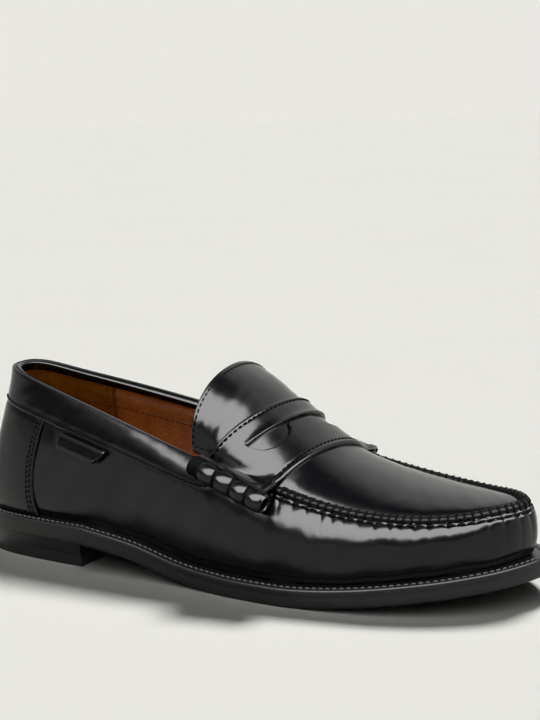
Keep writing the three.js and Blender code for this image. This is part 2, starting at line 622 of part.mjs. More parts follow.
tabShape.translate(-TAB.thick / 2, 0, -TAB.length / 2);
tabShape.applyMatrix4(new THREE.Matrix4().makeBasis(tabOut, tabUp, tabAlong.clone().negate())
  .setPosition(tabTop));
tabShape.deleteAttribute('uv');
tabShape.deleteAttribute('normal');
const tabBody = mergeVertices(tabShape, 1e-3);
tabBody.computeVertexNormals();
add('side_tab', tabBody, BLACK);

// The row origin is the middle of the footprint, on the floor
const box = new THREE.Box3().setFromObject(group);
const middle = box.getCenter(V(0, 0, 0));
for (const mesh of group.children) mesh.geometry.translate(-middle.x, -middle.y, -box.min.z);

export default group;
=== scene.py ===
"""Looks of a black penny loafer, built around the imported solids. Shape values are in
millimetres from the heel back; they are moved into the row frame, in metres, at the end."""

import json
import math

import bmesh
import bpy
import numpy as np
from mathutils import Matrix, Vector


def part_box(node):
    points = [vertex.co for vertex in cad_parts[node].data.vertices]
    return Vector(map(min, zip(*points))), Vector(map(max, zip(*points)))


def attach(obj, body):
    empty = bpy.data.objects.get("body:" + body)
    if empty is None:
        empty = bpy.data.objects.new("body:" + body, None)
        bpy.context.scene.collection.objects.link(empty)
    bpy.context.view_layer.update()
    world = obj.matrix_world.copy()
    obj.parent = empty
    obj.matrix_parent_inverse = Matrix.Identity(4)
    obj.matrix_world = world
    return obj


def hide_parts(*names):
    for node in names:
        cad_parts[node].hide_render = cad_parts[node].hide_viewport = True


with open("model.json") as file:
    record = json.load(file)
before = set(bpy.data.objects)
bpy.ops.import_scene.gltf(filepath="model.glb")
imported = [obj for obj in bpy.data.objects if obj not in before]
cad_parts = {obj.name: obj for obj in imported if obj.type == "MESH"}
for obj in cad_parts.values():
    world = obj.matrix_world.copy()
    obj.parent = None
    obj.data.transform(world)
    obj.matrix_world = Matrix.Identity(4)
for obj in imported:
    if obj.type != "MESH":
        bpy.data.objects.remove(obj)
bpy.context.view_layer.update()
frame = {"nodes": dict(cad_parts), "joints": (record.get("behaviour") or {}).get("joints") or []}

MM = 0.001
STEPS = 13

# ---- sizes shared with the solids ----
REACH = 6.5                  # welt left showing outside the upper
OUTSOLE = 5.2
SOLE_STACK = 9.2             # from the underside of the outsole to the insole
HEEL_TOP = 12.0
HEEL_PITCH = 1.8
TOP_LIFT = 6.0
COLLAR_WIDTH = 18.5
COLLAR_NARROW = 3.6
ROLL = 5.4                   # radius
ROLL_DROP = 5.5
ROLL_TILT = 5.0
ROLL_RANGE = {-1: (6.12, 7.55), 1: (6.45, 8.0)}
TAB_LENGTH = 31.0

# Shape of the last. Each list runs heel back to toe tip at thirteen equal steps.
SOLE_X = [0, 6, 18, 40, 75, 110, 145, 175, 200, 225, 250, 273, 292, 303]
SOLE_OUT = [0, 20.9, 28.9, 34, 38.5, 41.6, 48, 53.2, 54.7, 52.3, 46, 35.5, 19.2, -4.2]
SOLE_IN = [0, 20.5, 28.5, 33, 34.5, 32, 35, 42, 47.5, 50, 48.5, 41.5, 27.5, 4.2]
RIM_X = [15, 18, 27, 46, 77, 109, 142, 171, 197, 222, 247, 268, 285, 293]
RIM_HALF = [0, 8.5, 14, 18.5, 24.5, 30.5, 34.5, 36, 37, 36, 32, 25, 14, 0]
RIM_MID = [0, 0, 0, 0, 0, 0, 0, -1, -1, -1, -1, 0, 1, 2]
RIM_Z = [95.5, 95, 92.5, 87.5, 79.5, 71, 61.5, 54, 47.5, 42.5, 40.5, 41, 43.5, 44.5]
RIM_RISE = [0, 0.5, 1.5, 2, 3, 3.5, 4, 5, 5, 5, 4, 2.5, 1, 0]
LOW_OUT = [8, 7, 5, 4, 3, 3, 3, 4, 5, 5, 5, 4.5, 3.5, 3]
LOW_UP = [22, 22, 20, 18, 16, 14, 13, 12, 11, 11, 11, 11, 11, 11]
HIGH_OUT = [3, 3, 4, 6, 8, 9, 11, 12, 12, 12, 12, 10, 7, 5]
HIGH_UP = [-24, -24, -22, -20, -16, -12, -6, -3, -1, 0, 0, 0, 0, 0]
ARCH = [12, 8, 2.2, 0, 0, 2, 5.4, 9.3, 13.5]

# Crossing lines of the apron, tongue edge to toe
CROSS_OUT = [5.95, 6.05, 6.19, 6.82, 7.56, 8.05, 9, 10, 11, 12, 13]
CROSS_IN = [6, 6.2, 6.5, 7.25, 8.06, 8.5, 9.2, 10.05, 11, 12, 13]
CROSS_X = [144, 157, 168.6, 182, 197, 212, 231, 250, 269, 285, 293]
CROSS_Z = [102, 93.6, 84, 73, 63, 57, 52, 48.8, 47, 46, 44.5]
CROSS_FULL = [-0.34, -0.28, -0.2, -0.03, 0.18, 0.24, 0.28, 0.28, 0.28, 0.28, 0.28]
STRAP_REAR, STRAP_FRONT = 0.2, 0.4

low_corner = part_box("outsole")[0]
SHIFT = np.array([low_corner[0] / MM, low_corner[1] / MM + max(SOLE_OUT), 0.0])


# ---- curves and surfaces ----
def spline(values, closed=False):
    """Smooth curve through equally spaced values, over 0 to 1."""
    v = np.asarray(values, float)
    n = len(v)
    m = (np.roll(v, -1) - np.roll(v, 1)) / 2 if closed else np.gradient(v)

    def at(x):
        w = np.asarray(x, float) * (n if closed else n - 1)
        i = np.floor(w).astype(int)
        if not closed:
            i = np.clip(i, 0, n - 2)
        u = w - i
        e = u * u * (3 - 2 * u)
        a, b = i % n, (i + 1) % n
        return v[a] * (1 - e) + v[b] * e + u * (1 - u) * ((1 - u) * m[a] - u * m[b])

    return at


def ring(outer, inner):
    """Closed curve: heel back, outer side, toe, inner side."""
    return spline(list(outer) + list(inner[1:-1])[::-1], True)


def stack(x, y, z):
    return np.stack(np.broadcast_arrays(x, y, z), -1).astype(float)


def unit(v):
    return v / np.maximum(np.linalg.norm(v, axis=-1, keepdims=True), 1e-9)


def square_to(v, along):
    """Unit direction of v at right angles to along."""
    return unit(v - along * (v * along).sum(-1, keepdims=True))


def ease(a, b, x):
    u = np.clip((np.asarray(x, float) - a) / (b - a), 0, 1)
    return u * u * (3 - 2 * u)


def bell(x, centre, width):
    return np.exp(-((x - centre) / width) ** 2)


def swell(d, radius):
    """Rounded edge: 0.12 at the border, 1 from radius inwards."""
    u = np.clip(np.asarray(d, float) / radius, 0, 1)
    return 0.12 + 0.88 * np.sqrt(1 - (1 - u) ** 2)


def noise1(x, seed=0.0):
    x = np.asarray(x, float)
    return (np.sin(x * 1.0 + seed) + np.sin(x * 2.3 + 1.7 * seed + 1.1)
            + np.sin(x * 4.1 + 2.9 * seed + 2.3)) / 3


def lengths(points, axis=0):
    """Distances between neighbouring points."""
    return np.linalg.norm(np.diff(points, axis=axis), axis=-1)


def measure(points):
    """Distance of each point (n, 3) along the line through them."""
    return np.concatenate([[0], np.cumsum(lengths(points))])


def read(table, places, x):
    """Rows of a table (n, 3) that is known at the places, read at x."""
    return np.stack([np.interp(x, places, table[:, k]) for k in range(3)], -1)


def outer_at(step):
    return np.asarray(step, float) / (2 * STEPS)


def step_of(s):
    u = np.mod(s, 1) * 2 * STEPS
    return np.where(u > STEPS, 2 * STEPS - u, u)


def on_outer(s):
    return np.mod(s, 1) < 0.5


edge_x = ring(SOLE_X, SOLE_X)
edge_y = ring([-v for v in SOLE_OUT], SOLE_IN)
rim_x = ring(RIM_X, RIM_X)
rim_y = ring([c - w for c, w in zip(RIM_MID, RIM_HALF)],
             [c + w for c, w in zip(RIM_MID, RIM_HALF)])
rim_z = ring(RIM_Z, [a + b for a, b in zip(RIM_Z, RIM_RISE)])
low_out, low_up = ring(LOW_OUT, LOW_OUT), ring(LOW_UP, LOW_UP)
high_out, high_up = ring(HIGH_OUT, HIGH_OUT), ring(HIGH_UP, HIGH_UP)
arch = spline(ARCH)
cross_out, cross_in = spline(CROSS_OUT), spline(CROSS_IN)
cross_x, cross_z, cross_full = spline(CROSS_X), spline(CROSS_Z), spline(CROSS_FULL)


def underside(x):
    u = (np.asarray(x, float) - SOLE_X[4]) / (30.0 * (len(ARCH) - 1))
    return np.where(u <= 0, HEEL_TOP, np.maximum(0, arch(np.clip(u, 0, 1))))


def plan_out(fx, fy, s):
    e = 1e-3
    return unit(stack(fy(s + e) - fy(s - e), fx(s - e) - fx(s + e), 0))


def edge(s, inset, height):
    n = plan_out(edge_x, edge_y, s)
    x = edge_x(s) - n[..., 0] * inset
    return stack(x, edge_y(s) - n[..., 1] * inset, underside(x) + height)


def rim(s):
    return stack(rim_x(s), rim_y(s), rim_z(s))


def bezier(a, b, c, d, u):
    u = np.asarray(u, float)[..., None]
    v = 1 - u
    return a * v ** 3 + b * 3 * v * v * u + c * 3 * v * u * u + d * u ** 3


def wall(s, h):
    """Side of the upper: s round the shoe, h from welt (0) to rim (1)."""
    s, h = np.broadcast_arrays(np.asarray(s, float), np.asarray(h, float))
    n = plan_out(edge_x, edge_y, s)
    foot, head = edge(s, REACH, SOLE_STACK), rim(s)
    low = foot + n * low_out(s)[..., None] + stack(0, 0, low_up(s))
    high = head + n * high_out(s)[..., None] + stack(0, 0, high_up(s))
    return bezier(foot, low, high, head, h)


def cross(v, w):
    """Top of the shoe: v from tongue edge (0) to toe (1), w from outer to inner rim."""
    v, w = np.broadcast_arrays(np.asarray(v, float), np.asarray(w, float))
    a, b = rim(outer_at(cross_out(v))), rim(1 - outer_at(cross_in(v)))
    mid = (a + b) / 2
    rise = (stack(cross_x(v), mid[..., 1], cross_z(v)) - mid) * 4 / 3
    q = cross_full(v)[..., None]
    return bezier(a, a + rise + (b - a) * q, b + rise - (b - a) * q, b, w)


def normal(surface, u, v):
    e = 1e-3
    u, v = np.broadcast_arrays(np.asarray(u, float), np.asarray(v, float))
    v0, v1 = np.maximum(0, v - e), np.minimum(1, v + e)
    return unit(np.cross(surface(u + e, v) - surface(u - e, v), surface(u, v1) - surface(u, v0)))


def skin(s, h, off):
    """The wall moved off itself, outwards where off is positive."""
    return wall(s, h) + normal(wall, s, h) * np.asarray(off, float)[..., None]


def roof(v, w, off):
    v = np.clip(v, 0.002, 0.997)
    return cross(v, w) + normal(cross, v, w) * np.asarray(off, float)[..., None]


def from_end(lines, distance):
    """Parameter 0 to 1 along each polyline (n, k, 3) at the measured distances (n, m)."""
    run = np.concatenate([np.zeros((len(lines), 1)), np.cumsum(lengths(lines, 1), 1)], 1)
    grid = np.linspace(0, 1, lines.shape[1])
    return np.stack([np.interp(d, r, grid) for d, r in zip(distance, run)])


def wall_lines(s):
    """Lines from the rim down to the welt, one at each place."""
    return wall(np.asarray(s, float)[:, None], np.linspace(1, 0, 61)[None, :])


def wall_length(s):
    return lengths(wall_lines(s), 1).sum(1)


def below(s, distance):
    """Height parameter at measured distances (n, m) below the rim at the places (n,)."""
    return 1 - from_end(wall_lines(s), distance)


def at_depth(s, distance):
    """The same with one distance for each place, or one for all of them."""
    return below(s, np.broadcast_to(np.asarray(distance, float)[..., None], (len(s), 1)))[:, 0]


RIM_S = np.linspace(0, 1, 1041)
RIM_RUN = measure(rim(RIM_S))


def along_rim(s):
    return np.interp(np.mod(s, 1), RIM_S, RIM_RUN) + np.floor(s) * RIM_RUN[-1]


def seam_run(s):
    """Distance along the rim, slightly uneven as in a seam sewn by hand."""
    a = along_rim(s)
    return a + 1.1 * noise1(a / 19.0, 0.4)


def cross_of(s):
    """Crossing line that starts at a place on the rim."""
    v = np.linspace(0, 1, 400)
    step = step_of(s)
    return np.where(on_outer(s), np.interp(step, cross_out(v), v), np.interp(step, cross_in(v), v))


def collar_width(s):
    return COLLAR_WIDTH - COLLAR_NARROW * ease(1.5, 6.5, step_of(s))


def ridge_up(s):
    """Direction in which the apron seam stands up."""
    v = np.clip(cross_of(s), 0.002, 0.997)
    return unit(normal(wall, s, np.ones_like(s)) + normal(cross, v, np.where(on_outer(s), 0.0, 1.0)))


def spaced(a, b, step, radius):
    """Positions from a to b about step apart, packed close at b."""
    close = radius * np.array([0, 0.04, 0.13, 0.28, 0.5, 0.75])
    count = max(1, int(round((b - radius - a) / step)))
    return np.concatenate([np.linspace(a, b - radius, count + 1), (b - close)[::-1]])


# ---- meshes: a shape is a pair of points and faces ----
def piece(name, shape, material, slot, nodes=(), body="shoe", sharp=50.0):
    """A named mesh object in the row frame that rides on a body and stands for CAD nodes."""
    points, faces = shape
    mesh = bpy.data.meshes.new(name)
    placed = (np.asarray(points, float) + SHIFT) * MM
    mesh.from_pydata(placed.tolist(), [], [list(map(int, f)) for f in faces])
    bm = bmesh.new()
    bm.from_mesh(mesh)
    bmesh.ops.remove_doubles(bm, verts=bm.verts, dist=2e-6)
    bmesh.ops.dissolve_degenerate(bm, edges=bm.edges, dist=1e-7)
    bm.to_mesh(mesh)
    bm.free()
    mesh.polygons.foreach_set("use_smooth", [True] * len(mesh.polygons))
    mesh.set_sharp_from_angle(angle=math.radians(sharp))
    mesh.update()
    obj = bpy.data.objects.new(name, mesh)
    bpy.context.scene.collection.objects.link(obj)
    obj.data.materials.append(material)
    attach(obj, body)
    if nodes:
        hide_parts(*nodes)
    return obj


def numbered(rows, cols):
    return np.arange(rows * cols).reshape(rows, cols)


def grid_faces(idx, flip=False):
    quads = np.stack([idx[:-1, :-1], idx[1:, :-1], idx[1:, 1:], idx[:-1, 1:]], -1).reshape(-1, 4)
    return quads[:, ::-1] if flip else quads


def strip(a, b):
    """Quads between two rows of point numbers."""
    return np.stack([a[:-1], a[1:], b[1:], b[:-1]], -1)


def shell(outer, inner):
    """Closed body between two grids (n, m, 3); the outer one faces first x second."""
    o = numbered(*outer.shape[:2])
    q = o + o.size
    faces = [grid_faces(o), grid_faces(q, True), strip(q[:, 0], o[:, 0]), strip(o[:, -1], q[:, -1]),
             strip(o[0], q[0]), strip(q[-1], o[-1])]
    return np.concatenate([outer.reshape(-1, 3), inner.reshape(-1, 3)]), np.concatenate(faces)


def ring_faces(idx, closed=False):
    """Quads between rings of points, one ring in each row of idx."""
    beside = np.roll(idx, -1, 1)
    if closed:
        corners = [idx, beside, np.roll(beside, -1, 0), np.roll(idx, -1, 0)]
    else:
        corners = [idx[:-1], beside[:-1], beside[1:], idx[1:]]
    return np.stack(corners, -1).reshape(-1, 4)


def ring_body(rings, closed=False):
    """Body through rings (n, corners, 3), with a flat face at each end unless it is closed."""
    idx = numbered(*rings.shape[:2])
    faces = ring_faces(idx, closed).tolist()
    if not closed:
        faces += [idx[0][::-1].tolist(), idx[-1].tolist()]
    return rings.reshape(-1, 3), faces


def around(corners):
    return np.arange(corners) * 2 * math.pi / corners


def circle(centre, up, beside, radius, turn):
    return (centre + up * (np.cos(turn) * radius)[..., None]
            + beside * (np.sin(turn) * radius)[..., None])


def tube(path, side, radii, corners, closed=False):
    """Round body along a path (n, 3), with a side direction and a radius per point."""
    if closed:
        along = unit(np.roll(path, -1, 0) - np.roll(path, 1, 0))
    else:
        along = unit(np.gradient(path, axis=0))
    up = square_to(side, along)
    radii = np.broadcast_to(np.asarray(radii, float), (len(path),))[:, None]
    rings = circle(path[:, None], up[:, None], np.cross(along, up)[:, None], radii, around(corners))
    return ring_body(rings, closed)


class Batch:
    """Several small bodies gathered into one mesh."""

    def __init__(self):
        self.points, self.faces, self.count = [], [], 0

    def add(self, shape):
        points, faces = shape
        self.points.append(points)
        self.faces += [[int(i) + self.count for i in f] for f in faces]
        self.count += len(points)

    def make(self, name, material, slot, nodes=(), **words):
        return piece(name, (np.concatenate(self.points), self.faces), material, slot, nodes, **words)


def stitch_row(batch, path, ups, pitch, length, radius, closed=False, lift=0.0):
    """A row of separate stitches that dip into the leather at both ends."""
    if closed:
        path, ups = np.concatenate([path, path[:1]]), np.concatenate([ups, ups[:1]])
    run = measure(path)
    t = np.linspace(0, run[-1], max(2, int(round(run[-1] / pitch))) + 1)
    bend = np.array([-1, -0.82, -0.4, 0, 0.4, 0.82, 1])
    size = np.array([0.45, 0.85, 1, 1, 1, 0.85, 0.45])
    rise = np.array([-0.9, -0.15, 0.35, 0.45, 0.35, -0.15, -0.9])
    for c in t[:-1] if closed else (t[:-1] + t[1:]) / 2:
        at = np.clip(c + bend * length / 2, 0, run[-1])
        if at[-1] - at[0] < length * 0.5:
            continue
        up = unit(read(ups, run, c))
        line = read(path, run, at) + up * (rise * radius + lift)[:, None]
        batch.add(tube(line, up[None], size * radius, 6))


def sew(batch, s, h, lift, stitch, side=1):
    """Row of stitches along the wall, lifted off it outwards (side 1) or inwards (-1)."""
    ups = normal(wall, s, h) * side
    stitch_row(batch, wall(s, h) + ups * np.asarray(lift, float)[..., None], ups, *stitch)


# ---- materials ----
def nodes_of(name):
    mat = bpy.data.materials.new(name)
    mat.use_nodes = True
    tree = mat.node_tree
    tree.nodes.clear()
    out = tree.nodes.new("ShaderNodeOutputMaterial")
    shader = tree.nodes.new("ShaderNodeBsdfPrincipled")
    tree.links.new(shader.outputs[0], out.inputs[0])
    return mat, tree, shader


def add_node(tree, kind, **values):
    """New node; set_NAME gives the value of the input called NAME."""
    node = tree.nodes.new(kind)
    for key, value in values.items():
        if key.startswith("set_"):
            node.inputs[key[4:].replace("_", " ")].default_value = value
        else:
            setattr(node, key, value)
    return node


def ramp(tree, source, stops):
    node = tree.nodes.new("ShaderNodeValToRGB")
    while len(node.color_ramp.elements) < len(stops):
        node.color_ramp.elements.new(0.5)
    for e, (pos, colour) in zip(node.color_ramp.elements, stops):
        e.position = pos
        e.color = (*colour, 1)
    tree.links.new(source, node.inputs[0])
    return node.outputs[0]


def grey(tree, source, low, high):
    node = add_node(tree, "ShaderNodeMapRange", set_To_Min=low, set_To_Max=high)
    tree.links.new(source, node.inputs["Value"])
    return node.outputs[0]


def noise(tree, where, scale, detail=3.0):
    node = add_node(tree, "ShaderNodeTexNoise", set_Scale=scale, set_Detail=detail, set_Roughness=0.55)
    tree.links.new(where, node.inputs["Vector"])
    return node.outputs[0]


def cells(tree, where, scale):
    node = add_node(tree, "ShaderNodeTexVoronoi", set_Scale=scale)
    tree.links.new(where, node.inputs["Vector"])
    return node.outputs["Distance"]


def surface(name, stops, rough, scale, bumps, specular=0.5, metal=0.0):
    """Procedural finish: colour and roughness vary with noise, bumps are (kind, scale, mm)."""
    mat, tree, shader = nodes_of(name)
    where = add_node(tree, "ShaderNodeTexCoord").outputs["Object"]
    tree.links.new(ramp(tree, noise(tree, where, scale, 4.0), stops), shader.inputs["Base Color"])
    tree.links.new(grey(tree, noise(tree, where, scale * 6), *rough), shader.inputs["Roughness"])
    shader.inputs["Metallic"].default_value = metal
    shader.inputs["Specular IOR Level"].default_value = specular
    last = None
    for kind, size, depth in bumps:
        node = add_node(tree, "ShaderNodeBump", set_Strength=1.0, set_Distance=depth * MM)
        tree.links.new(kind(tree, where, size), node.inputs["Height"])
        if last:
            tree.links.new(last, node.inputs["Normal"])
        last = node.outputs[0]
    tree.links.new(last, shader.inputs["Normal"])
    return mat


BLACK = surface("black_polished_leather",
                [(0.3, (0.0012, 0.0010, 0.0030)), (0.7, (0.0021, 0.0018, 0.0042))],
                (0.15, 0.24), 40, [(noise, 22, 0.6), (noise, 90, 0.05), (cells, 1500, 0.006)], 0.31)
SEAM = surface("black_gathered_seam",
               [(0.3, (0.0010, 0.0010, 0.0011)), (0.7, (0.0020, 0.0019, 0.0021))],
               (0.22, 0.34), 60, [(noise, 260, 0.2), (cells, 900, 0.05)], 0.1)
EDGE = surface("black_edge_dressing",
               [(0.3, (0.004, 0.004, 0.0045)), (0.7, (0.007, 0.007, 0.0075))],
               (0.3, 0.42), 90, [(noise, 120, 0.08), (noise, 900, 0.02)], 0.28)
RUBBER = surface("black_rubber_sole",
                 [(0.3, (0.006, 0.006, 0.006)), (0.7, (0.011, 0.011, 0.011))],
                 (0.36, 0.48), 120, [(noise, 500, 0.03), (cells, 1200, 0.02)], 0.28)
TAN = surface("tan_lining_leather",
              [(0.25, (0.36, 0.125, 0.005)), (0.55, (0.50, 0.185, 0.008)), (0.8, (0.62, 0.24, 0.013))],
              (0.5, 0.68), 70, [(cells, 620, 0.22), (noise, 1400, 0.05), (noise, 60, 0.4)], 0.08)
SUEDE = surface("tan_suede_lining", [(0.25, (0.24, 0.10, 0.010)), (0.75, (0.42, 0.18, 0.02))],
                (0.95, 1.0), 150, [(noise, 1800, 0.10), (noise, 160, 0.15)], 0.0)
THREAD = surface("black_waxed_thread", [(0.3, (0.001, 0.001, 0.001)), (0.7, (0.003, 0.003, 0.003))],
                 (0.55, 0.75), 400, [(noise, 2500, 0.06)], 0.04)
PALE_THREAD = surface("grey_welt_thread", [(0.3, (0.10, 0.095, 0.08)), (0.7, (0.22, 0.21, 0.18))],
                      (0.6, 0.8), 400, [(noise, 2500, 0.08)])
TAN_THREAD = surface("tan_lining_thread", [(0.3, (0.10, 0.03, 0.003)), (0.7, (0.17, 0.055, 0.006))],
                     (0.6, 0.8), 400, [(noise, 2500, 0.08)], 0.05)
BOARD = surface("pressed_fibre_board", [(0.3, (0.38, 0.28, 0.17)), (0.7, (0.52, 0.41, 0.27))],
                (0.8, 0.95), 300, [(noise, 900, 0.1)])
CORK = surface("granular_cork", [(0.3, (0.22, 0.12, 0.05)), (0.7, (0.46, 0.29, 0.14))],
               (0.85, 0.98), 500, [(cells, 500, 0.4)])
CLOTH = surface("cotton_backing", [(0.3, (0.60, 0.56, 0.46)), (0.7, (0.74, 0.70, 0.60))],
                (0.85, 0.98), 700, [(cells, 1500, 0.1)])
STEEL = surface("spring_steel", [(0.3, (0.42, 0.42, 0.44)), (0.7, (0.56, 0.56, 0.58))],
                (0.25, 0.42), 200, [(noise, 900, 0.02)], metal=1.0)

# hidden solids that keep their own shapes
KEPT = {"heel_counter": BOARD, "toe_puff": BOARD, "side_backing_lateral": CLOTH,
        "side_backing_medial": CLOTH, "insole_board": BOARD, "cork_filler": CORK,
        "heel_filler": CORK, "waist_filler": CORK, "steel_shank": STEEL}
for node_name, look in KEPT.items():
    node = frame["nodes"][node_name]
    node.data.materials.clear()
    node.data.materials.append(look)


# ---- upper: vamp and quarters with the raised apron seam ----
SEAM_PITCH = 3.8             # one overcast stitch
PUCKER_PITCH = 6.4           # one gather
SEAM_FROM, SEAM_TO = 7.6, 8.1   # steps where the sewing starts, outer and inner side
SEAM_STITCH = (4.6, 3.91, 0.6)  # stitches are given as pitch, length and radius
GROOVE = 4.4                 # sewn line below the rim


def seam_share(s):
    return ease(6.9, 7.6, step_of(s))


def pucker(s, d):
    """Gathers that run down from the apron seam."""
    a, b = along_rim(s), seam_run(s)
    spot = b + 1.3 * noise1(b / 5.3, 3.1)
    fold = np.abs(np.sin(math.pi * spot / PUCKER_PITCH)) ** 0.75 - 0.62
    toe = ease(10.6, 12.2, step_of(s))
    reach = 4.4 + 2.2 * toe + 2.6 * noise1(a / 7.0, 2.0)
    size = (1.0 + 0.45 * toe) * (0.8 + 0.6 * noise1(a / 9.0, 5.0))
    fade = np.exp(-np.maximum(0, d - 3.0) / reach) * ease(0.6, 3.0, d)
    return seam_share(s) * size * fold * fade


def wave(s, d):
    """Slight unevenness of the stretched leather."""
    a = along_rim(s)
    return 0.36 * noise1(a / 13 + d / 23, 1.3) * ease(2, 12, d) + 0.05 * noise1(a / 5 - d / 9, 3.0)


def build_upper():
    s = np.concatenate([np.linspace(0.002, 0.24, 150), np.linspace(0.2416, 0.7584, 560),
                        np.linspace(0.76, 0.998, 150)])
    column, k = s[:, None], seam_share(s)
    total = wall_length(s)[:, None]
    near = [13, 11.5, 10, 8.7, 7.5, 6.5, 5.7, 5.1, 4.7, 4.4, 4.1, 3.8, 3.3, 2.9]
    d = np.concatenate([total - np.linspace(0, 1, 44)[None, :] * (total - 14.5),
                        np.tile(near, (len(s), 1))], 1)
    h = below(s, d)
    groove = -0.5 * bell(d, GROOVE, 0.5) * k[:, None]
    foot_in = -1.2 * np.exp(-(total - d) / 2.5)
    side_rows = skin(column, h, pucker(column, d) + wave(column, d) + groove + foot_in)
    # ridge of the seam
    turn = np.radians([0, 14, 30, 48, 68, 90, 112, 132, 150, 166, 180])
    r, up = rim(s), ridge_up(s)
    down = unit(wall(s, at_depth(s, 2.0)) - r)
    v = np.clip(cross_of(s), 0.002, 0.99)
    inward = unit(cross(v, np.where(on_outer(s), 0.04, 0.96))
                  - cross(v, np.where(on_outer(s), 0.0, 1.0)))
    toe = ease(12.2, 12.9, step_of(s))[:, None]
    inward = unit(inward * (1 - toe) - plan_out(rim_x, rim_y, s) * toe)
    beat = np.abs(np.sin(math.pi * seam_run(s) / SEAM_PITCH)) ** 0.6
    high = (0.25 + 2.3 * k * (0.80 + 0.20 * beat))[:, None, None]
    wide = (0.3 + 2.0 * k * (0.90 + 0.10 * beat))[:, None, None]
    cosine, sine = np.cos(turn)[None, :, None], np.sin(turn)[None, :, None]
    side = np.where(cosine > 0, down[:, None] * cosine, inward[:, None] * -cosine)
    arc = r[:, None] + side * wide + up[:, None] * (high * sine - 0.15)
    under = r + inward * wide[:, 0] * 0.9 - up * 0.9
    outer = np.concatenate([side_rows, arc, under[:, None]], 1)
    ridge = len(turn) + 1
    inner_rim = skin(s, 1, -1.0)[:, None] + inward[:, None] * np.linspace(0, 0.8, ridge)[:, None]
    inner = np.concatenate([skin(column, h, -1.2), inner_rim], 1)
    for name, look, rows, nodes in (("upper", BLACK, slice(None, 2 - ridge), ["vamp"]),
                                    ("apron_seam_ridge", SEAM, slice(1 - ridge, None), [])):
        shape = shell(outer[:, rows], inner[:, rows])
        piece(name, shape, look, "black_leather", nodes, sharp=62)
    return s, r, up, down, inward


seam = build_upper()


# ---- seam stitches ----
def build_seam_thread():
    s, r, up, down, inward = seam
    a = seam_run(s)
    batch = Batch()
    first = math.ceil(np.interp(outer_at(SEAM_FROM), s, a) / SEAM_PITCH)
    last = math.floor(np.interp(1 - outer_at(SEAM_TO), s, a) / SEAM_PITCH)
    turn = np.radians([-14, 0, 20, 42, 66, 90, 114, 138, 160, 180, 192])[:, None]
    for i in range(first, last + 1):
        at = np.interp(i * SEAM_PITCH, a, s)
        rise, out, back = (unit(read(table, s, at)) for table in (up, down, inward))
        side = np.where(np.cos(turn) > 0, out * np.cos(turn), back * -np.cos(turn))
        path = read(r, s, at) + side * 2.25 + rise * (2.15 * np.sin(turn) - 0.05)
        batch.add(tube(path, side + rise * np.sin(turn), 0.66, 7))
    keep = (s > outer_at(SEAM_FROM)) & (s < 1 - outer_at(SEAM_TO))
    sew(batch, s[keep], at_depth(s[keep], 4.3), -0.28, SEAM_STITCH)
    path = r[keep] + inward[keep] * 2.9 - up[keep] * 0.25
    stitch_row(batch, path, up[keep], *SEAM_STITCH)
    batch.make("apron_seam_stitches", THREAD, "black_thread", ["apron_seam_thread"])


build_seam_thread()


# ---- apron with tongue ----
TONGUE_STITCH = (3.1, 2.2, 0.4)
APRON_RUN = 245.0            # length of the apron over its middle
APRON = 1.5                  # thickness that shows


def cross_rows(v, inset, rows):
    """w values on each crossing line: rows are shares of the width left between insets."""
    line = cross(np.asarray(v)[:, None], np.linspace(0, 1, 81)[None, :])
    lo = from_end(line, inset[0][:, None])
    hi = 1 - from_end(line[:, ::-1], inset[1][:, None])
    return lo + (hi - lo) * np.asarray(rows)[None, :]


def edge_inset(v):
    """Clearance from the outer and the inner rim, measured along the crossing line."""
    made = []
    for step in (cross_out(v), cross_in(v)):
        n = plan_out(rim_x, rim_y, outer_at(step))
        clear = 2.2 - 1.2 * ease(6.05, 6.9, step)
        made.append(clear / np.maximum(0.45, np.abs(n[..., 1])))
    return made


def build_apron():
    v = np.concatenate([[0, 0.001, 0.003, 0.006, 0.010, 0.015], np.linspace(0.02, 0.97, 150),
                        [0.978, 0.985]])
    share = np.concatenate([[0, 0.003, 0.008, 0.016], np.linspace(0.028, 0.972, 90),
                            [0.984, 0.992, 0.997, 1]])
    w = cross_rows(v, edge_inset(v), share)
    rows = v[:, None]
    width = lengths(cross(rows, w), 1).sum(1)[:, None]
    side = np.minimum(share, 1 - share)[None, :] * width
    sag = -0.9 * bell(side, 0, 4.0) * ease(0.36, 0.45, rows)
    loose = 0.12 * noise1(rows * 30 + w * 7, 0.7) * ease(0, 12, side)
    off = APRON * swell(rows * APRON_RUN, 1.6) - 1.2 + sag + loose
    off = np.where(rows < 0.4, off - 0.9 * (1 - swell(side, 1.4)), off)
    shape = shell(roof(rows, w, off), roof(rows, w, sag - 1.4))
    piece("apron_and_tongue", shape, BLACK, "black_leather", ["apron"])
    # lining under it
    v = np.linspace(0.004, 0.93, 90)
    w = cross_rows(v, edge_inset(v), np.linspace(0.012, 0.988, 60))
    shape = shell(roof(v[:, None], w, -1.6), roof(v[:, None], w, -2.5))
    piece("apron_lining_leather", shape, TAN, "tan_leather", ["apron_lining"])
    # stitch line round the tongue
    batch = Batch()
    back, w = 0.0185, np.linspace(0.045, 0.955, 160)
    stitch_row(batch, roof(back, w, 0.28), normal(cross, back, w), *TONGUE_STITCH)
    v = np.linspace(0.026, 0.196, 60)
    for w in cross_rows(v, [k + 4.3 for k in edge_inset(v)], [0.0, 1.0]).T:
        stitch_row(batch, roof(v, w, 0.28), normal(cross, v, w), *TONGUE_STITCH)
    return batch


tongue_thread = build_apron()


# ---- rolls at the ends of the strap ----
ROLL_PARTS = 4               # bulges between the wraps
ROLL_START = 0.13            # share of the roll under the coil at its rear end


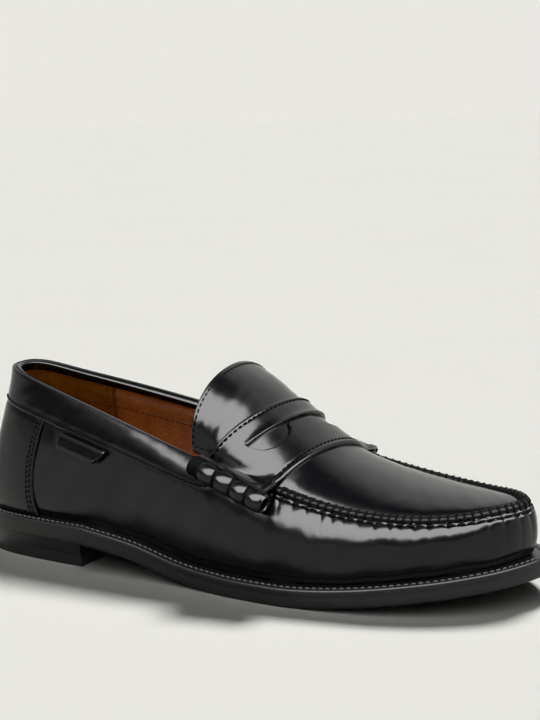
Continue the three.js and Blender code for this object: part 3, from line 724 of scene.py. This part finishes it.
def roll_path(side, f):
    """Centre line of a roll, rear (0) to front (1), and the direction out of the shoe."""
    f = np.asarray(f, float)
    first, last = ROLL_RANGE[side]
    s = outer_at(first + f * (last - first)) * -side
    h = at_depth(s, ROLL_DROP + ROLL_TILT * f)
    n = normal(wall, s, h)
    out = 0.3 + 1.6 * (1 - ease(0.3, 0.6, f)) + ROLL
    return wall(s, h) + n * out[:, None], n


def build_roll(side, label):
    f = np.linspace(0, 1, 161)
    centre, out = roll_path(side, f)
    along = unit(np.gradient(centre, axis=0))
    up = square_to(out, along)
    beside = np.cross(along, up)
    local = (f - ROLL_START) / (1 - ROLL_START) * ROLL_PARTS
    share = np.clip(local, 0, ROLL_PARTS - 1e-6) % 1.0
    bulge = ROLL * (0.78 + 0.23 * np.sin(math.pi * share) ** 0.5)
    rear = ROLL * (0.74 + 0.06 * np.abs(np.sin(math.pi * f / ROLL_START * 2.5)))
    r = np.where(f < ROLL_START, rear, bulge) * (1 - 0.35 * (1 - ease(0, 0.03, f)))
    turn = around(40)
    spiral = np.mod(turn[None, :] - 1.2 - 0.9 * f[:, None], 2 * math.pi)
    lap = 1 + 0.05 * bell(spiral, 1.0, 0.16)
    outer = circle(centre[:, None], up[:, None], beside[:, None], r[:, None] * lap, turn)
    # hollow front end: shares of the radius and places along the roll
    hollow = [(0.97, 0.5), (0.90, 0.75), (0.8, 0.6), (0.72, 0.0), (0.68, -1.5), (0.62, -4.0),
              (0.3, -6.5), (0.02, -7.0)]
    end = [circle(centre[-1] + along[-1] * push, up[-1], beside[-1], r[-1] * k, turn)
           for k, push in hollow]
    cap = [circle(centre[0] - along[0] * 0.8, up[0], beside[0], r[0] * k, turn) for k in (0.05, 0.6)]
    rings = np.concatenate([np.stack(cap), outer, np.stack(end)])
    piece(f"strap_roll_{label}", ring_body(rings), BLACK, "black_leather", [f"beef_roll_{label}"],
          sharp=70)
    # thread wraps, two turns in each groove and a coil at the rear end
    batch = Batch()
    turn = around(32)
    wraps = [ROLL_START + (1 - ROLL_START) * k / ROLL_PARTS + shift
             for k in range(ROLL_PARTS) for shift in (-0.01302, 0.01302)]
    coil = np.linspace(0.02, ROLL_START - 0.03, 5)
    for places, base, lean, radius in ((wraps, ROLL * 0.80 + 0.5, 0.9, 0.5),
                                       (coil, ROLL * 0.76 + 0.3, 0.0, 0.45)):
        for q in places:
            c, u, b, a = (read(table, f, q) for table in (centre, up, beside, along))
            path = circle(c, u, b, base, turn) + a * (lean * np.sin(turn + 0.6))[:, None]
            batch.add(tube(path, path - c, radius, 7, closed=True))
    batch.make(f"roll_thread_{label}", THREAD, "black_thread",
               [f"roll_wrap_{label}_{k}" for k in range(1, 5)])


build_roll(-1, "lateral")
build_roll(1, "medial")


# ---- saddle strap with the coin slot ----
STRAP = 1.45                 # thickness
STRAP_OFF = 0.35             # underside above the apron's surface
STRAP_STITCH = (3.1, 2.1, 0.5)
STRAP_CLEAR = np.array([[7.0], [7.0]])
SLOT_LINE = 0.35             # upper edge of the slot, as a share of the strap's depth
SLOT_LIP = 0.8


def strap_rows(v):
    return cross_rows(np.array([v]), STRAP_CLEAR, np.linspace(0, 1, 60))[0]


def strap_line(v):
    """One line of the strap from roll to roll, as a dense polyline."""
    ends = []
    reach = ROLL * 0.96
    upright = np.array([0, 0, 1.0])
    for side, lean in ((-1, 0.15), (1, -0.75)):
        step = float((cross_out if side < 0 else cross_in)(v))
        s = np.array([-side * outer_at(step)])
        first, last = ROLL_RANGE[side]
        f = np.clip((step - first) / (last - first), 0, 1)
        centre, _ = roll_path(side, np.array([f, min(1, f + 0.02), max(0, f - 0.02)]))
        along = unit(centre[1] - centre[2])
        c = centre[0]
        over = rim(s)[0] + ridge_up(s)[0] * (0.7 + 1.9 * float(seam_share(s)[0]))
        back = square_to(over - c, along)
        rise = square_to(upright - back * upright.dot(back), along)
        cosine = min(0.98, reach / back.dot(over - c))
        touch = c + back * reach * cosine + rise * reach * math.sqrt(1 - cosine ** 2)
        wrap = c + unit(back * lean + rise) * reach * 0.99
        ends.append(np.stack([wrap, touch, over]))
    return np.concatenate([ends[0], cross(v, strap_rows(v)), ends[1][::-1]])


def smooth_line(line, count):
    """The line in equal steps, with the corners near its ends worn round."""
    run = measure(line)
    t = np.linspace(0, run[-1], 241)
    p = read(line, run, t)
    near_end = np.exp(-np.minimum(t, t[-1] - t) / 9)[:, None]
    for _ in range(60):
        q = p.copy()
        q[1:-1] = (p[:-2] + 2 * p[1:-1] + p[2:]) / 4
        p = p * (1 - near_end) + q * near_end
    run = measure(p)
    return read(p, run, np.linspace(0, run[-1], count))


def strap_share(w):
    """Place along the strap's whole line for a place w between the rims."""
    v = STRAP_REAR + SLOT_LINE * (STRAP_FRONT - STRAP_REAR)
    run = measure(strap_line(v))
    return float(np.interp(w, strap_rows(v), run[3:-3])) / run[-1]


SLOT_FROM, SLOT_TO = strap_share(0.177), strap_share(0.9)


def slot_low(x):
    """Lower edge of the slot, as a share of the strap's depth, over its width x."""
    u = np.clip((x - SLOT_FROM) / (SLOT_TO - SLOT_FROM), 0, 1)
    side = np.minimum(u, 1 - u)
    lobe = np.sqrt(np.maximum(0, np.sin(math.pi * np.clip(side / 0.36, 0, 1) ** 0.8)))
    opened = 0.03 * np.minimum(1, side * 30) + 0.21 * lobe
    return SLOT_LINE + np.where((x > SLOT_FROM) & (x < SLOT_TO), opened, 0)


def build_strap():
    count = 281
    share = np.linspace(0, 1, 41)
    lines = np.stack([smooth_line(strap_line(v), count)
                      for v in np.linspace(STRAP_REAR, STRAP_FRONT, 41)])
    ups = unit(np.cross(np.gradient(lines, axis=0), np.gradient(lines, axis=1)))
    x = np.linspace(0, 1, count)
    low_edge = slot_low(x)
    close = np.array([0, 0.004, 0.012, 0.026, 0.045])
    rear = np.concatenate([close, np.linspace(0.07, 0.93, 22), 1 - close[::-1]])[:, None]
    n = len(rear)
    behind = np.tile(rear * SLOT_LINE, (1, count))
    ahead = low_edge + (1 - low_edge) * rear
    depth = np.concatenate([behind, ahead])
    base, out = (np.stack([read(table[:, j], share, depth[:, j]) for j in range(count)], 1)
                 for table in (lines, ups))
    out = unit(out)
    size = lengths(lines).sum(0)
    from_rear, from_front = depth * size, (1 - depth) * size
    from_side = np.minimum(x, 1 - x)[None, :] * lengths(lines, 1).sum(1).mean()
    to_slot = np.concatenate([(SLOT_LINE - behind) * size, (ahead - low_edge) * size])
    gap = (low_edge - SLOT_LINE) * size
    opened = ease(0.15, 0.6, gap)
    thick = (STRAP * swell(from_rear, 1.5) * (1.0 + 0.45 * bell(from_front, 0, 2.6))
             * swell(from_front, 1.9) * (1 - opened * (1 - swell(to_slot, 0.8))))
    press = -0.22 * bell(from_rear, 2.6, 0.5) - 0.25 * bell(from_front, 3.6, 0.55)
    fold = np.abs(np.sin(from_rear / 2.4 + 0.6 * noise1(from_rear / 5, 1))) ** 0.7 - 0.6
    gather = (0.38 * fold * np.exp(-np.maximum(0, from_side - 9) / 4.0) * ease(0, 4, from_side)
              * ease(0, 3, from_rear) * ease(0, 3, from_front))
    lip = SLOT_LIP * opened * bell(to_slot, 0, 2.4)
    lip[n:] = 0
    off = STRAP_OFF + thick + press + gather + lip
    outer, inner = base + out * off[..., None], base + out * 0.3
    o = numbered(*depth.shape)
    q = o + o.size
    blocks = slice(0, n), slice(n, 2 * n)
    faces = [made for rows in blocks for made in (grid_faces(o[rows]), grid_faces(q[rows], True))]
    is_open = (gap[:-1] > 1e-6) | (gap[1:] > 1e-6)
    faces += [strip(o[0], q[0]), strip(q[-1], o[-1]),
              strip(q[n - 1], o[n - 1])[is_open], strip(o[n], q[n])[is_open]]
    faces += [strip(a[rows, c], b[rows, c]) for a, b, c in ((q, o, 0), (o, q, -1)) for rows in blocks]
    points = np.concatenate([outer.reshape(-1, 3), inner.reshape(-1, 3)])
    piece("saddle_strap_leather", (points, np.concatenate(faces)), BLACK, "black_leather",
          ["saddle_strap"], sharp=75)
    columns = range(6, count - 6, 2)
    for margins in (2.6 / size, 1 - 3.6 / size):
        dirs = np.stack([unit(read(ups[:, c], share, margins[c])) for c in columns])
        rows = np.stack([read(lines[:, c], share, margins[c]) for c in columns])
        stitch_row(tongue_thread, rows + dirs * (STRAP_OFF + STRAP - 0.12), dirs, *STRAP_STITCH)
    tongue_thread.make("tongue_and_strap_stitches", THREAD, "black_thread")


build_strap()


# ---- collar band, folded over the topline ----
FOLD_END, COLLAR_END = 5.95, 6.62   # steps where the fold and the band end
FOLD_MID, FOLD_HALF = -1.15, 2.45   # middle and half width of the fold across the topline
COLLAR_TOP = 1.6
COLLAR_STITCH = (2.9, 2.0, 0.5)
STITCH_IN = 2.1              # stitch line from the band's lower edge


def collar_low(step):
    """Depth of the band below the rim, drawn in at its rounded front ends."""
    f = np.clip((np.abs(step) - FOLD_END) / (COLLAR_END - FOLD_END), 0, 1)
    low = collar_width(outer_at(step))
    return low - (low - 4.5) * (1 - np.sqrt(1 - f ** 2.6))


def band_off(from_low, to_edge):
    return 0.3 + swell(to_edge, 1.1) - 0.22 * bell(from_low, STITCH_IN, 0.5)


def build_collar():
    s = np.linspace(-outer_at(FOLD_END), outer_at(FOLD_END), 331)
    column, width = s[:, None], collar_width(s)[:, None]
    share = (spaced(COLLAR_TOP, COLLAR_WIDTH, 1.5, 1.1)[::-1] - COLLAR_TOP) / (COLLAR_WIDTH - COLLAR_TOP)
    d = COLLAR_TOP + (width - COLLAR_TOP) * share[None, :]
    h = below(s, d)
    uneven = 0.09 * noise1(along_rim(column) / 9 + d / 6, 2.2) * ease(COLLAR_TOP, 6, d)
    r = rim(s)
    n = normal(wall, s, at_depth(s, COLLAR_TOP))
    down = unit(wall(s, at_depth(s, 2.5)) - r)
    turn = np.radians(np.linspace(0, 180, 17))[:, None]
    arc = (r[:, None] + n[:, None] * (FOLD_MID + FOLD_HALF * np.cos(turn))
           - down[:, None] * (1.15 * np.sin(turn) - 0.75))
    h_in = below(s, np.tile([2.0, 2.8, 3.6, 4.2, 4.45, 4.6], (len(s), 1)))
    back = skin(column, h_in, -3.6 + np.array([0, 0, 0, 0.12, 0.4, 0.8]))
    outer = np.concatenate([skin(column, h, band_off(width - d, width - d) + uneven), arc, back], 1)
    core = r + n * FOLD_MID + down * 0.2
    inner_arc = core[:, None] + n[:, None] * np.linspace(1.2, -1.2, 17)[:, None]
    inner = np.concatenate([skin(column, h, 0.25), inner_arc, skin(column, h_in, -2.75)], 1)
    batch = Batch()
    batch.add(shell(outer, inner))
    # rounded front ends on the vamp
    rows = np.concatenate([[0, 0.006, 0.02, 0.045, 0.075], np.linspace(0.11, 1, 16)])
    for sign in (1, -1):
        step = spaced(FOLD_END - 0.1, COLLAR_END, 0.05, 0.06)[::sign]
        low = collar_low(step)[:, None]
        d = low + (1.2 - low) * rows[None, :]
        places = outer_at(step) * sign
        h = below(places, d)
        to_end = ((COLLAR_END - step) * 24.0)[:, None] + 0.02
        off = band_off(low - d, np.minimum(low - d, to_end))
        batch.add(shell(skin(places[:, None], h, off), skin(places[:, None], h, 0.2)))
    batch.make("collar_band_leather", BLACK, "black_leather", ["collar_band"], sharp=60)
    row = Batch()
    step = np.concatenate([-np.linspace(6.45, 5.95, 12), np.linspace(-5.9, 5.9, 260),
                           np.linspace(5.95, 6.45, 12)])
    places = outer_at(step)
    sew(row, places, at_depth(places, collar_low(step) - STITCH_IN), 1.2, COLLAR_STITCH)
    row.make("collar_stitches", THREAD, "black_thread", ["collar_stitch_thread"])


build_collar()


# ---- heel foxing ----
FOX_LENGTH = 70.0            # heel back to the front edge, along the wall
FOX_ROWS = (1.6, 3.6)        # stitch rows behind the front edge
FOX_STITCH = (2.7, 2.0, 0.5)


def fox_edge(f):
    return 3.07 - 0.48 * f * (1 - f)


def build_foxing():
    close = np.array([0, 0.3, 0.7, 1.1, 1.6, 2.1, 2.6, 3.1, 3.6, 4.1, 4.8, 6.0]) / FOX_LENGTH
    u = np.concatenate([close - 1, np.linspace(-0.88, 0.88, 90), 1 - close[::-1]])
    f = np.linspace(0, 1, 60)
    s = u[:, None] * outer_at(fox_edge(f))[None, :]
    top = at_depth(s[:, -1], collar_width(s[:, -1]) - 1.5)[:, None]
    h = 0.012 + f[None, :] * (top - 0.012)
    front = (1 - np.abs(u))[:, None] * FOX_LENGTH
    press = -0.3 * sum(bell(front, row, 0.5) for row in FOX_ROWS)
    off = 0.25 + 1.1 * swell(front, 0.9) + press + 0.05 * noise1(u * 6, 1)[:, None]
    shape = shell(skin(s, h, off - 0.35 * ease(0.93, 1.0, f)[None, :]), skin(s, h, 0.1))
    piece("heel_foxing_leather", shape, BLACK, "black_leather", ["heel_foxing"])
    batch = Batch()
    for row in FOX_ROWS:
        for sign in (-1, 1):
            places = sign * (1 - row / FOX_LENGTH) * outer_at(fox_edge(f))
            top = at_depth(places[-1:], collar_width(places[-1]) + 0.4)[0]
            sew(batch, places, 0.02 + f * (top - 0.02), 1.15, FOX_STITCH)
    batch.make("foxing_stitches", THREAD, "black_thread")


build_foxing()


# ---- linings ----
GRIP = 3.5                   # step where the heel grip ends
LINING_END = 6.5             # step where the quarter linings end


def lining_out(down):
    """Outer face of the linings: close to the rim at the top, behind the stiffeners lower down."""
    return -1.5 - 1.4 * ease(5, 11, down)


def build_lining(name, first, last, material, slot, node, extra=0.0, top=0.6):
    s = np.linspace(first, last, max(12, int((last - first) * 420)))
    column, start = s[:, None], (wall_length(s) - 1.0)[:, None]
    d = start + (top - start) * np.linspace(0, 1, 46)[None, :]
    h = below(s, d)
    soft = 0.25 * noise1(along_rim(column) / 8 + d / 10, 4) * ease(3, 14, d)
    outside = lining_out(d)
    shape = shell(skin(column, h, outside), skin(column, h, outside - 0.9 - extra + soft))
    piece(name, shape, material, slot, [node])


build_lining("heel_grip_suede", -outer_at(GRIP), outer_at(GRIP), SUEDE, "tan_suede",
             "heel_grip_lining", 0.5)
build_lining("quarter_lining_leather_lateral", outer_at(GRIP - 0.05), outer_at(LINING_END), TAN,
             "tan_leather", "quarter_lining_lateral")
build_lining("quarter_lining_leather_medial", 1 - outer_at(LINING_END), 1 - outer_at(GRIP - 0.05),
             TAN, "tan_leather", "quarter_lining_medial")
build_lining("vamp_lining_leather", outer_at(LINING_END), 1 - outer_at(LINING_END), TAN,
             "tan_leather", "vamp_lining", 0.0, 3.0)


def build_lining_thread():
    batch = Batch()
    step = np.linspace(-6.2, 6.2, 300)
    lift = 4.05 + np.where(np.abs(step) < GRIP, 0.5, 0.0)
    sew(batch, outer_at(step), at_depth(outer_at(step), 15.5), lift, (3.4, 2.3, 0.34), -1)
    # raised seam and stitches at the heel grip's front edges
    d = np.linspace(5, 58, 40)
    lift = 1.55 - lining_out(d)
    for sign in (-1, 1):
        s = sign * outer_at(GRIP - 0.03)
        h = below([s], d[None, :])[0]
        ups = -normal(wall, s, h)
        batch.add(tube(wall(s, h) + ups * lift[:, None], ups, 0.5, 7))
        sew(batch, sign * outer_at(GRIP - 0.14), h, lift, (3.2, 2.2, 0.36), -1)
    batch.make("lining_stitches", TAN_THREAD, "tan_leather")


build_lining_thread()


# ---- sole layers ----
def level(steps, inset_top, inset_low, z_top, z_low, radius, follow=True):
    """Layer between two heights, with rounded borders. Insets may vary with the step."""
    close = np.array([0, 0.001, 0.003, 0.007, 0.012, 0.02, 0.035])
    w = np.concatenate([close, np.linspace(0.06, 0.94, 40), 1 - close[::-1]])[:, None]
    ring_s = np.linspace(0, 1, 721)
    made = []
    for inset, z, sign in ((inset_top, z_top, -1), (inset_low, z_low, 1)):
        a, b = (edge(s, inset(steps), 0)[:, None] for s in (outer_at(steps), 1 - outer_at(steps)))
        p = a * (1 - w) + b * w
        outline = edge(ring_s, inset(step_of(ring_s)), 0)[:, :2]
        d = np.concatenate([np.sqrt(((c[:, None] - outline[None]) ** 2).sum(-1)).min(1)
                            for c in np.array_split(p[..., :2].reshape(-1, 2), 24)])
        d = np.clip(d.reshape(p.shape[:2]) / radius, 0, 1)
        ground = underside(p[..., 0]) if follow else 0.0
        p[..., 2] = ground + z + sign * radius * (1 - np.sqrt(1 - (1 - d) ** 2))
        made.append(p)
    return shell(*made)


def border(profile):
    """Band swept round the sole: (inset, height) points of its closed section."""
    s = np.linspace(0, 1, 721)[:-1]
    return ring_body(np.stack([edge(s, inset, height) for inset, height in profile], 1), True)


def steady(value):
    return lambda t: np.full(np.shape(t), float(value))


HEEL_BACK = [0, 0.015, 0.05, 0.1, 0.17]   # close steps round the heel back
TOE_TIP = [12.83, 12.9, 12.95, 12.985, 13]
OUTSOLE_BORDER = [(4.0, 5.2), (0.17, 5.2), (0.15, 4.2), (0.12, 2.6), (0.12, 1.2), (0.17, 0.5),
                  (0.32, 0.14), (0.6, 0.02), (4.0, 0.02)]
WELT_BORDER = [(12.4, 9.3), (7.2, 9.3), (6.0, 9.0), (4.6, 8.9), (4.1, 8.86), (3.7, 8.62),
               (3.1, 8.55), (2.5, 8.62), (2.1, 8.86), (1.6, 8.92), (1.0, 8.86), (0.55, 8.62),
               (0.3, 8.25), (0.2, 7.7), (0.17, 6.9), (0.17, 6.2), (0.17, 5.7), (0.17, 5.22),
               (12.4, 5.22)]
WELT_STITCH = (3.3, 2.0, 0.36)


def build_sole():
    whole = np.concatenate([HEEL_BACK, np.linspace(0.25, 12.75, 150), TOE_TIP])
    body = Batch()
    body.add(level(whole, steady(1.2), steady(1.2), OUTSOLE - 0.05, 0.0, 0.2))
    body.add(border(OUTSOLE_BORDER))
    body.make("outsole_rubber", RUBBER, "black_rubber", ["outsole"])
    piece("welt_leather", border(WELT_BORDER), EDGE, "black_edge", ["welt"])
    batch = Batch()
    path = edge(np.linspace(0, 1, 521)[:-1], 3.1, 8.72)
    ups = np.tile([0, 0, 1.0], (len(path), 1))
    stitch_row(batch, path, ups, *WELT_STITCH, closed=True, lift=0.1)
    batch.make("welt_stitches", PALE_THREAD, "black_thread", ["welt_stitch_thread"])
    board = steady(REACH + 4.3)
    shape = level(whole, board, board, SOLE_STACK + 3.7, SOLE_STACK + 2.5, 0.5)
    piece("sock_liner_leather", shape, TAN, "tan_leather", ["sock_liner"])


def build_heel():
    steps = np.concatenate([HEEL_BACK, np.linspace(0.25, 3.9, 50), [3.97]])

    def inset(height):
        def at(t):
            pitch = 0.9 + HEEL_PITCH * (1 - ease(0, 3, t))
            return 0.8 + pitch * (1 - height / HEEL_TOP)
        return at

    for name, high, low, material, slot, node in (
            ("heel_lifts", HEEL_TOP - 0.05, TOP_LIFT + 0.02, EDGE, "black_edge", "heel_base"),
            ("heel_top_lift", TOP_LIFT - 0.05, 0.0, RUBBER, "black_rubber", "top_lift")):
        shape = level(steps, inset(high), inset(low), high, low, 0.1, follow=False)
        piece(name, shape, material, slot, [node])


build_sole()
build_heel()


# ---- folded side tab ----
SLANT = 5.0                  # front end cut back by this at its lower edge
TAB_STEP = 3.965             # its middle
TAB_HEIGHT = np.linspace(0.4, -5.6, 12)
TAB_HALF = np.interp(np.linspace(0, 1, 12), [0, 0.3, 1], [1.15, 1.3, 1.4])


def tab_section():
    """Section in (out, up) from the pivot: round fold, back face, lower fold, front face."""
    turn = np.linspace(0, math.pi, 13)
    top, low = TAB_HALF[0], TAB_HALF[-1]
    fold = [(top * math.cos(a) - 0.55, TAB_HEIGHT[0] + top * math.sin(a)) for a in turn]
    back = [(-1.55 - 0.1 * math.sin(math.pi * k / 12), TAB_HEIGHT[k]) for k in range(1, 11)]
    foot = [(-low * math.cos(a), TAB_HEIGHT[-1] - low * math.sin(a)) for a in turn]
    front = [(top - 0.45 + 1.5 * (TAB_HALF[k] - top), TAB_HEIGHT[k]) for k in range(10, 0, -1)]
    return np.array(fold + back + foot + front)


def build_tab():
    joint = next(j for j in frame["joints"] if j["name"] == "tab_hinge")
    pivot = np.array(joint["pos_m"]) / MM
    along = -unit(np.array(joint["axis"]))
    s = np.array([outer_at(TAB_STEP)])
    out = square_to(normal(wall, s, at_depth(s, collar_width(s) + 0.8))[0], along)
    up = -np.cross(along, out)
    outer = tab_section()
    core = np.clip(outer[:, 1], TAB_HEIGHT[-1], TAB_HEIGHT[0])
    middle = np.stack([np.interp(core, TAB_HEIGHT[::-1], [0.0] * 11 + [-0.55]), core], -1)
    inner = middle + (outer - middle) * 0.38
    half = TAB_LENGTH / 2
    x = np.concatenate([[0, 0.08, 0.25, 0.6], np.linspace(1.1, TAB_LENGTH - 1.1, 26),
                        TAB_LENGTH - np.array([0.6, 0.25, 0.08, 0])]) - half
    grow = 1 - 0.22 * (1 - np.clip(np.minimum(x + half, half - x) / 0.6, 0, 1)) ** 2

    def rings(profile, factor):
        p = middle[None] + (profile[None] - middle[None]) * factor[:, None, None]
        depth = np.clip(-p[..., 1] / 6.5, 0, 1)
        cut = x[:, None] - SLANT * depth * ease(0.3, 1.0, x / half)[:, None]
        return pivot - SHIFT + along * cut[..., None] + out * p[..., :1] + up * p[..., 1:]

    o, q = rings(outer, grow), rings(inner, 2 - grow)
    a = numbered(*o.shape[:2])
    b = a + a.size
    an, bn = np.roll(a, -1, 1), np.roll(b, -1, 1)
    faces = [ring_faces(a), ring_faces(b)[:, [0, 3, 2, 1]],
             np.stack([b[0], bn[0], an[0], a[0]], -1), np.stack([a[-1], an[-1], bn[-1], b[-1]], -1)]
    shape = np.concatenate([o.reshape(-1, 3), q.reshape(-1, 3)]), np.concatenate(faces)
    piece("folded_side_tab", shape, BLACK, "black_leather", ["side_tab"], body="tab", sharp=70)


build_tab()


# ---- camera, floor and light ----
PAPER = (0.8148, 0.8069, 0.7605)
DARK, DIM, BRIGHT = (0.06, 0.06, 0.06), (0.5, 0.5, 0.49), (1.05, 1.05, 1.02)
CAMERA_AT = (0.3704, -0.6784, 0.2321)
CAMERA_TURN, CAMERA_RISE, CAMERA_ROLL = -62.275, 9.431, -1.503   # degrees
SOFTBOX_TURN, SOFTBOX_RISE, SOFTBOX_AWAY = math.radians(-52), math.radians(55), 1.6
SOFTBOX_GLOW = 12.5 * math.pi   # watts per square metre


def build_floor():
    turn = around(96)
    radii = (0.3, 0.8, 2.0, 5.0, 12.0)
    points = [(r * math.cos(t), r * math.sin(t), 0) for r in radii for t in turn] + [(0, 0, 0)]
    faces = [(i * 96 + j, (i + 1) * 96 + j, (i + 1) * 96 + (j + 1) % 96, i * 96 + (j + 1) % 96)
             for i in range(len(radii) - 1) for j in range(96)]
    faces += [(len(points) - 1, j, (j + 1) % 96) for j in range(96)]
    mesh = bpy.data.meshes.new("studio_floor")
    mesh.from_pydata(points, [], faces)
    floor = bpy.data.objects.new("studio_floor", mesh)
    bpy.context.scene.collection.objects.link(floor)
    mat, tree, shader = nodes_of("pale_studio_paper")
    tone = noise(tree, add_node(tree, "ShaderNodeTexCoord").outputs["Object"], 3.0, 2.0)
    low, high = ([c * k for c in PAPER] for k in (0.985, 0.995))
    tree.links.new(ramp(tree, tone, [(0.3, low), (0.7, high)]), shader.inputs["Base Color"])
    shader.inputs["Roughness"].default_value = 1.0
    shader.inputs["Specular IOR Level"].default_value = 0.0
    mesh.materials.append(mat)


def add_lamp(name, kind, toward):
    light = bpy.data.lights.new(name, kind)
    lamp = bpy.data.objects.new(name, light)
    lamp.rotation_euler = Vector(toward).to_track_quat("Z", "Y").to_euler()
    bpy.context.scene.collection.objects.link(lamp)
    return lamp, light


def build_lamps():
    for name, angle, energy, toward in (("back_light", 15, 3.30, (-0.12, 0.63, 1.0)),
                                        ("fill_light", 80, 0.42, (0.20, -0.60, 1.0))):
        lamp, light = add_lamp(name, "SUN", toward)
        light.angle = math.radians(angle)
        light.energy = energy
        lamp.visible_glossy = False
    toward = Vector((math.cos(SOFTBOX_RISE) * math.cos(SOFTBOX_TURN),
                     math.cos(SOFTBOX_RISE) * math.sin(SOFTBOX_TURN), math.sin(SOFTBOX_RISE)))
    lamp, light = add_lamp("softbox", "AREA", toward)
    light.shape = "RECTANGLE"
    light.size, light.size_y = 5.0, 1.5
    light.energy = SOFTBOX_GLOW * light.size * light.size_y
    lamp.location = toward * SOFTBOX_AWAY
    lamp.visible_diffuse = False


def build_world():
    """Surround seen in reflections: pale floor, dark band, dim in front and bright behind."""
    world = bpy.data.worlds.new("studio")
    bpy.context.scene.world = world
    world.use_nodes = True
    world.cycles_visibility.diffuse = False
    tree = world.node_tree
    back = tree.nodes["Background"]
    split = tree.nodes.new("ShaderNodeSeparateXYZ")
    tree.links.new(tree.nodes.new("ShaderNodeTexCoord").outputs["Generated"], split.inputs[0])
    near, far = (ramp(tree, split.outputs["Z"], stops) for stops in (
        [(0.0, PAPER), (0.08, PAPER), (0.16, DARK), (0.3, DARK), (0.4, DIM), (0.8, DIM)],
        [(0.0, PAPER), (0.28, PAPER), (0.4, BRIGHT), (0.75, BRIGHT), (0.88, DARK)]))
    side = add_node(tree, "ShaderNodeMapRange", set_From_Min=-0.5, set_From_Max=0.3)
    tree.links.new(split.outputs["Y"], side.inputs["Value"])
    mix = add_node(tree, "ShaderNodeMix", data_type="RGBA")
    for source, number in ((side.outputs[0], 0), (near, 6), (far, 7)):
        tree.links.new(source, mix.inputs[number])
    tree.links.new(mix.outputs[2], back.inputs["Color"])
    back.inputs["Strength"].default_value = 1.0


def build_camera():
    camera = bpy.data.cameras.new("camera")
    camera.lens = 80.0
    camera.sensor_width = 36.0
    camera.clip_start = 0.02
    obj = bpy.data.objects.new("camera", camera)
    obj.matrix_world = (Matrix.Translation(CAMERA_AT)
                        @ Matrix.Rotation(math.radians(CAMERA_TURN + 90), 4, "Z")
                        @ Matrix.Rotation(math.radians(90 - CAMERA_RISE), 4, "X")
                        @ Matrix.Rotation(math.radians(CAMERA_ROLL), 4, "Z"))
    bpy.context.scene.collection.objects.link(obj)
    bpy.context.scene.camera = obj


bpy.context.scene.view_settings.view_transform = "Standard"
bpy.context.scene.view_settings.look = "None"
build_floor()
build_lamps()
build_world()
build_camera()
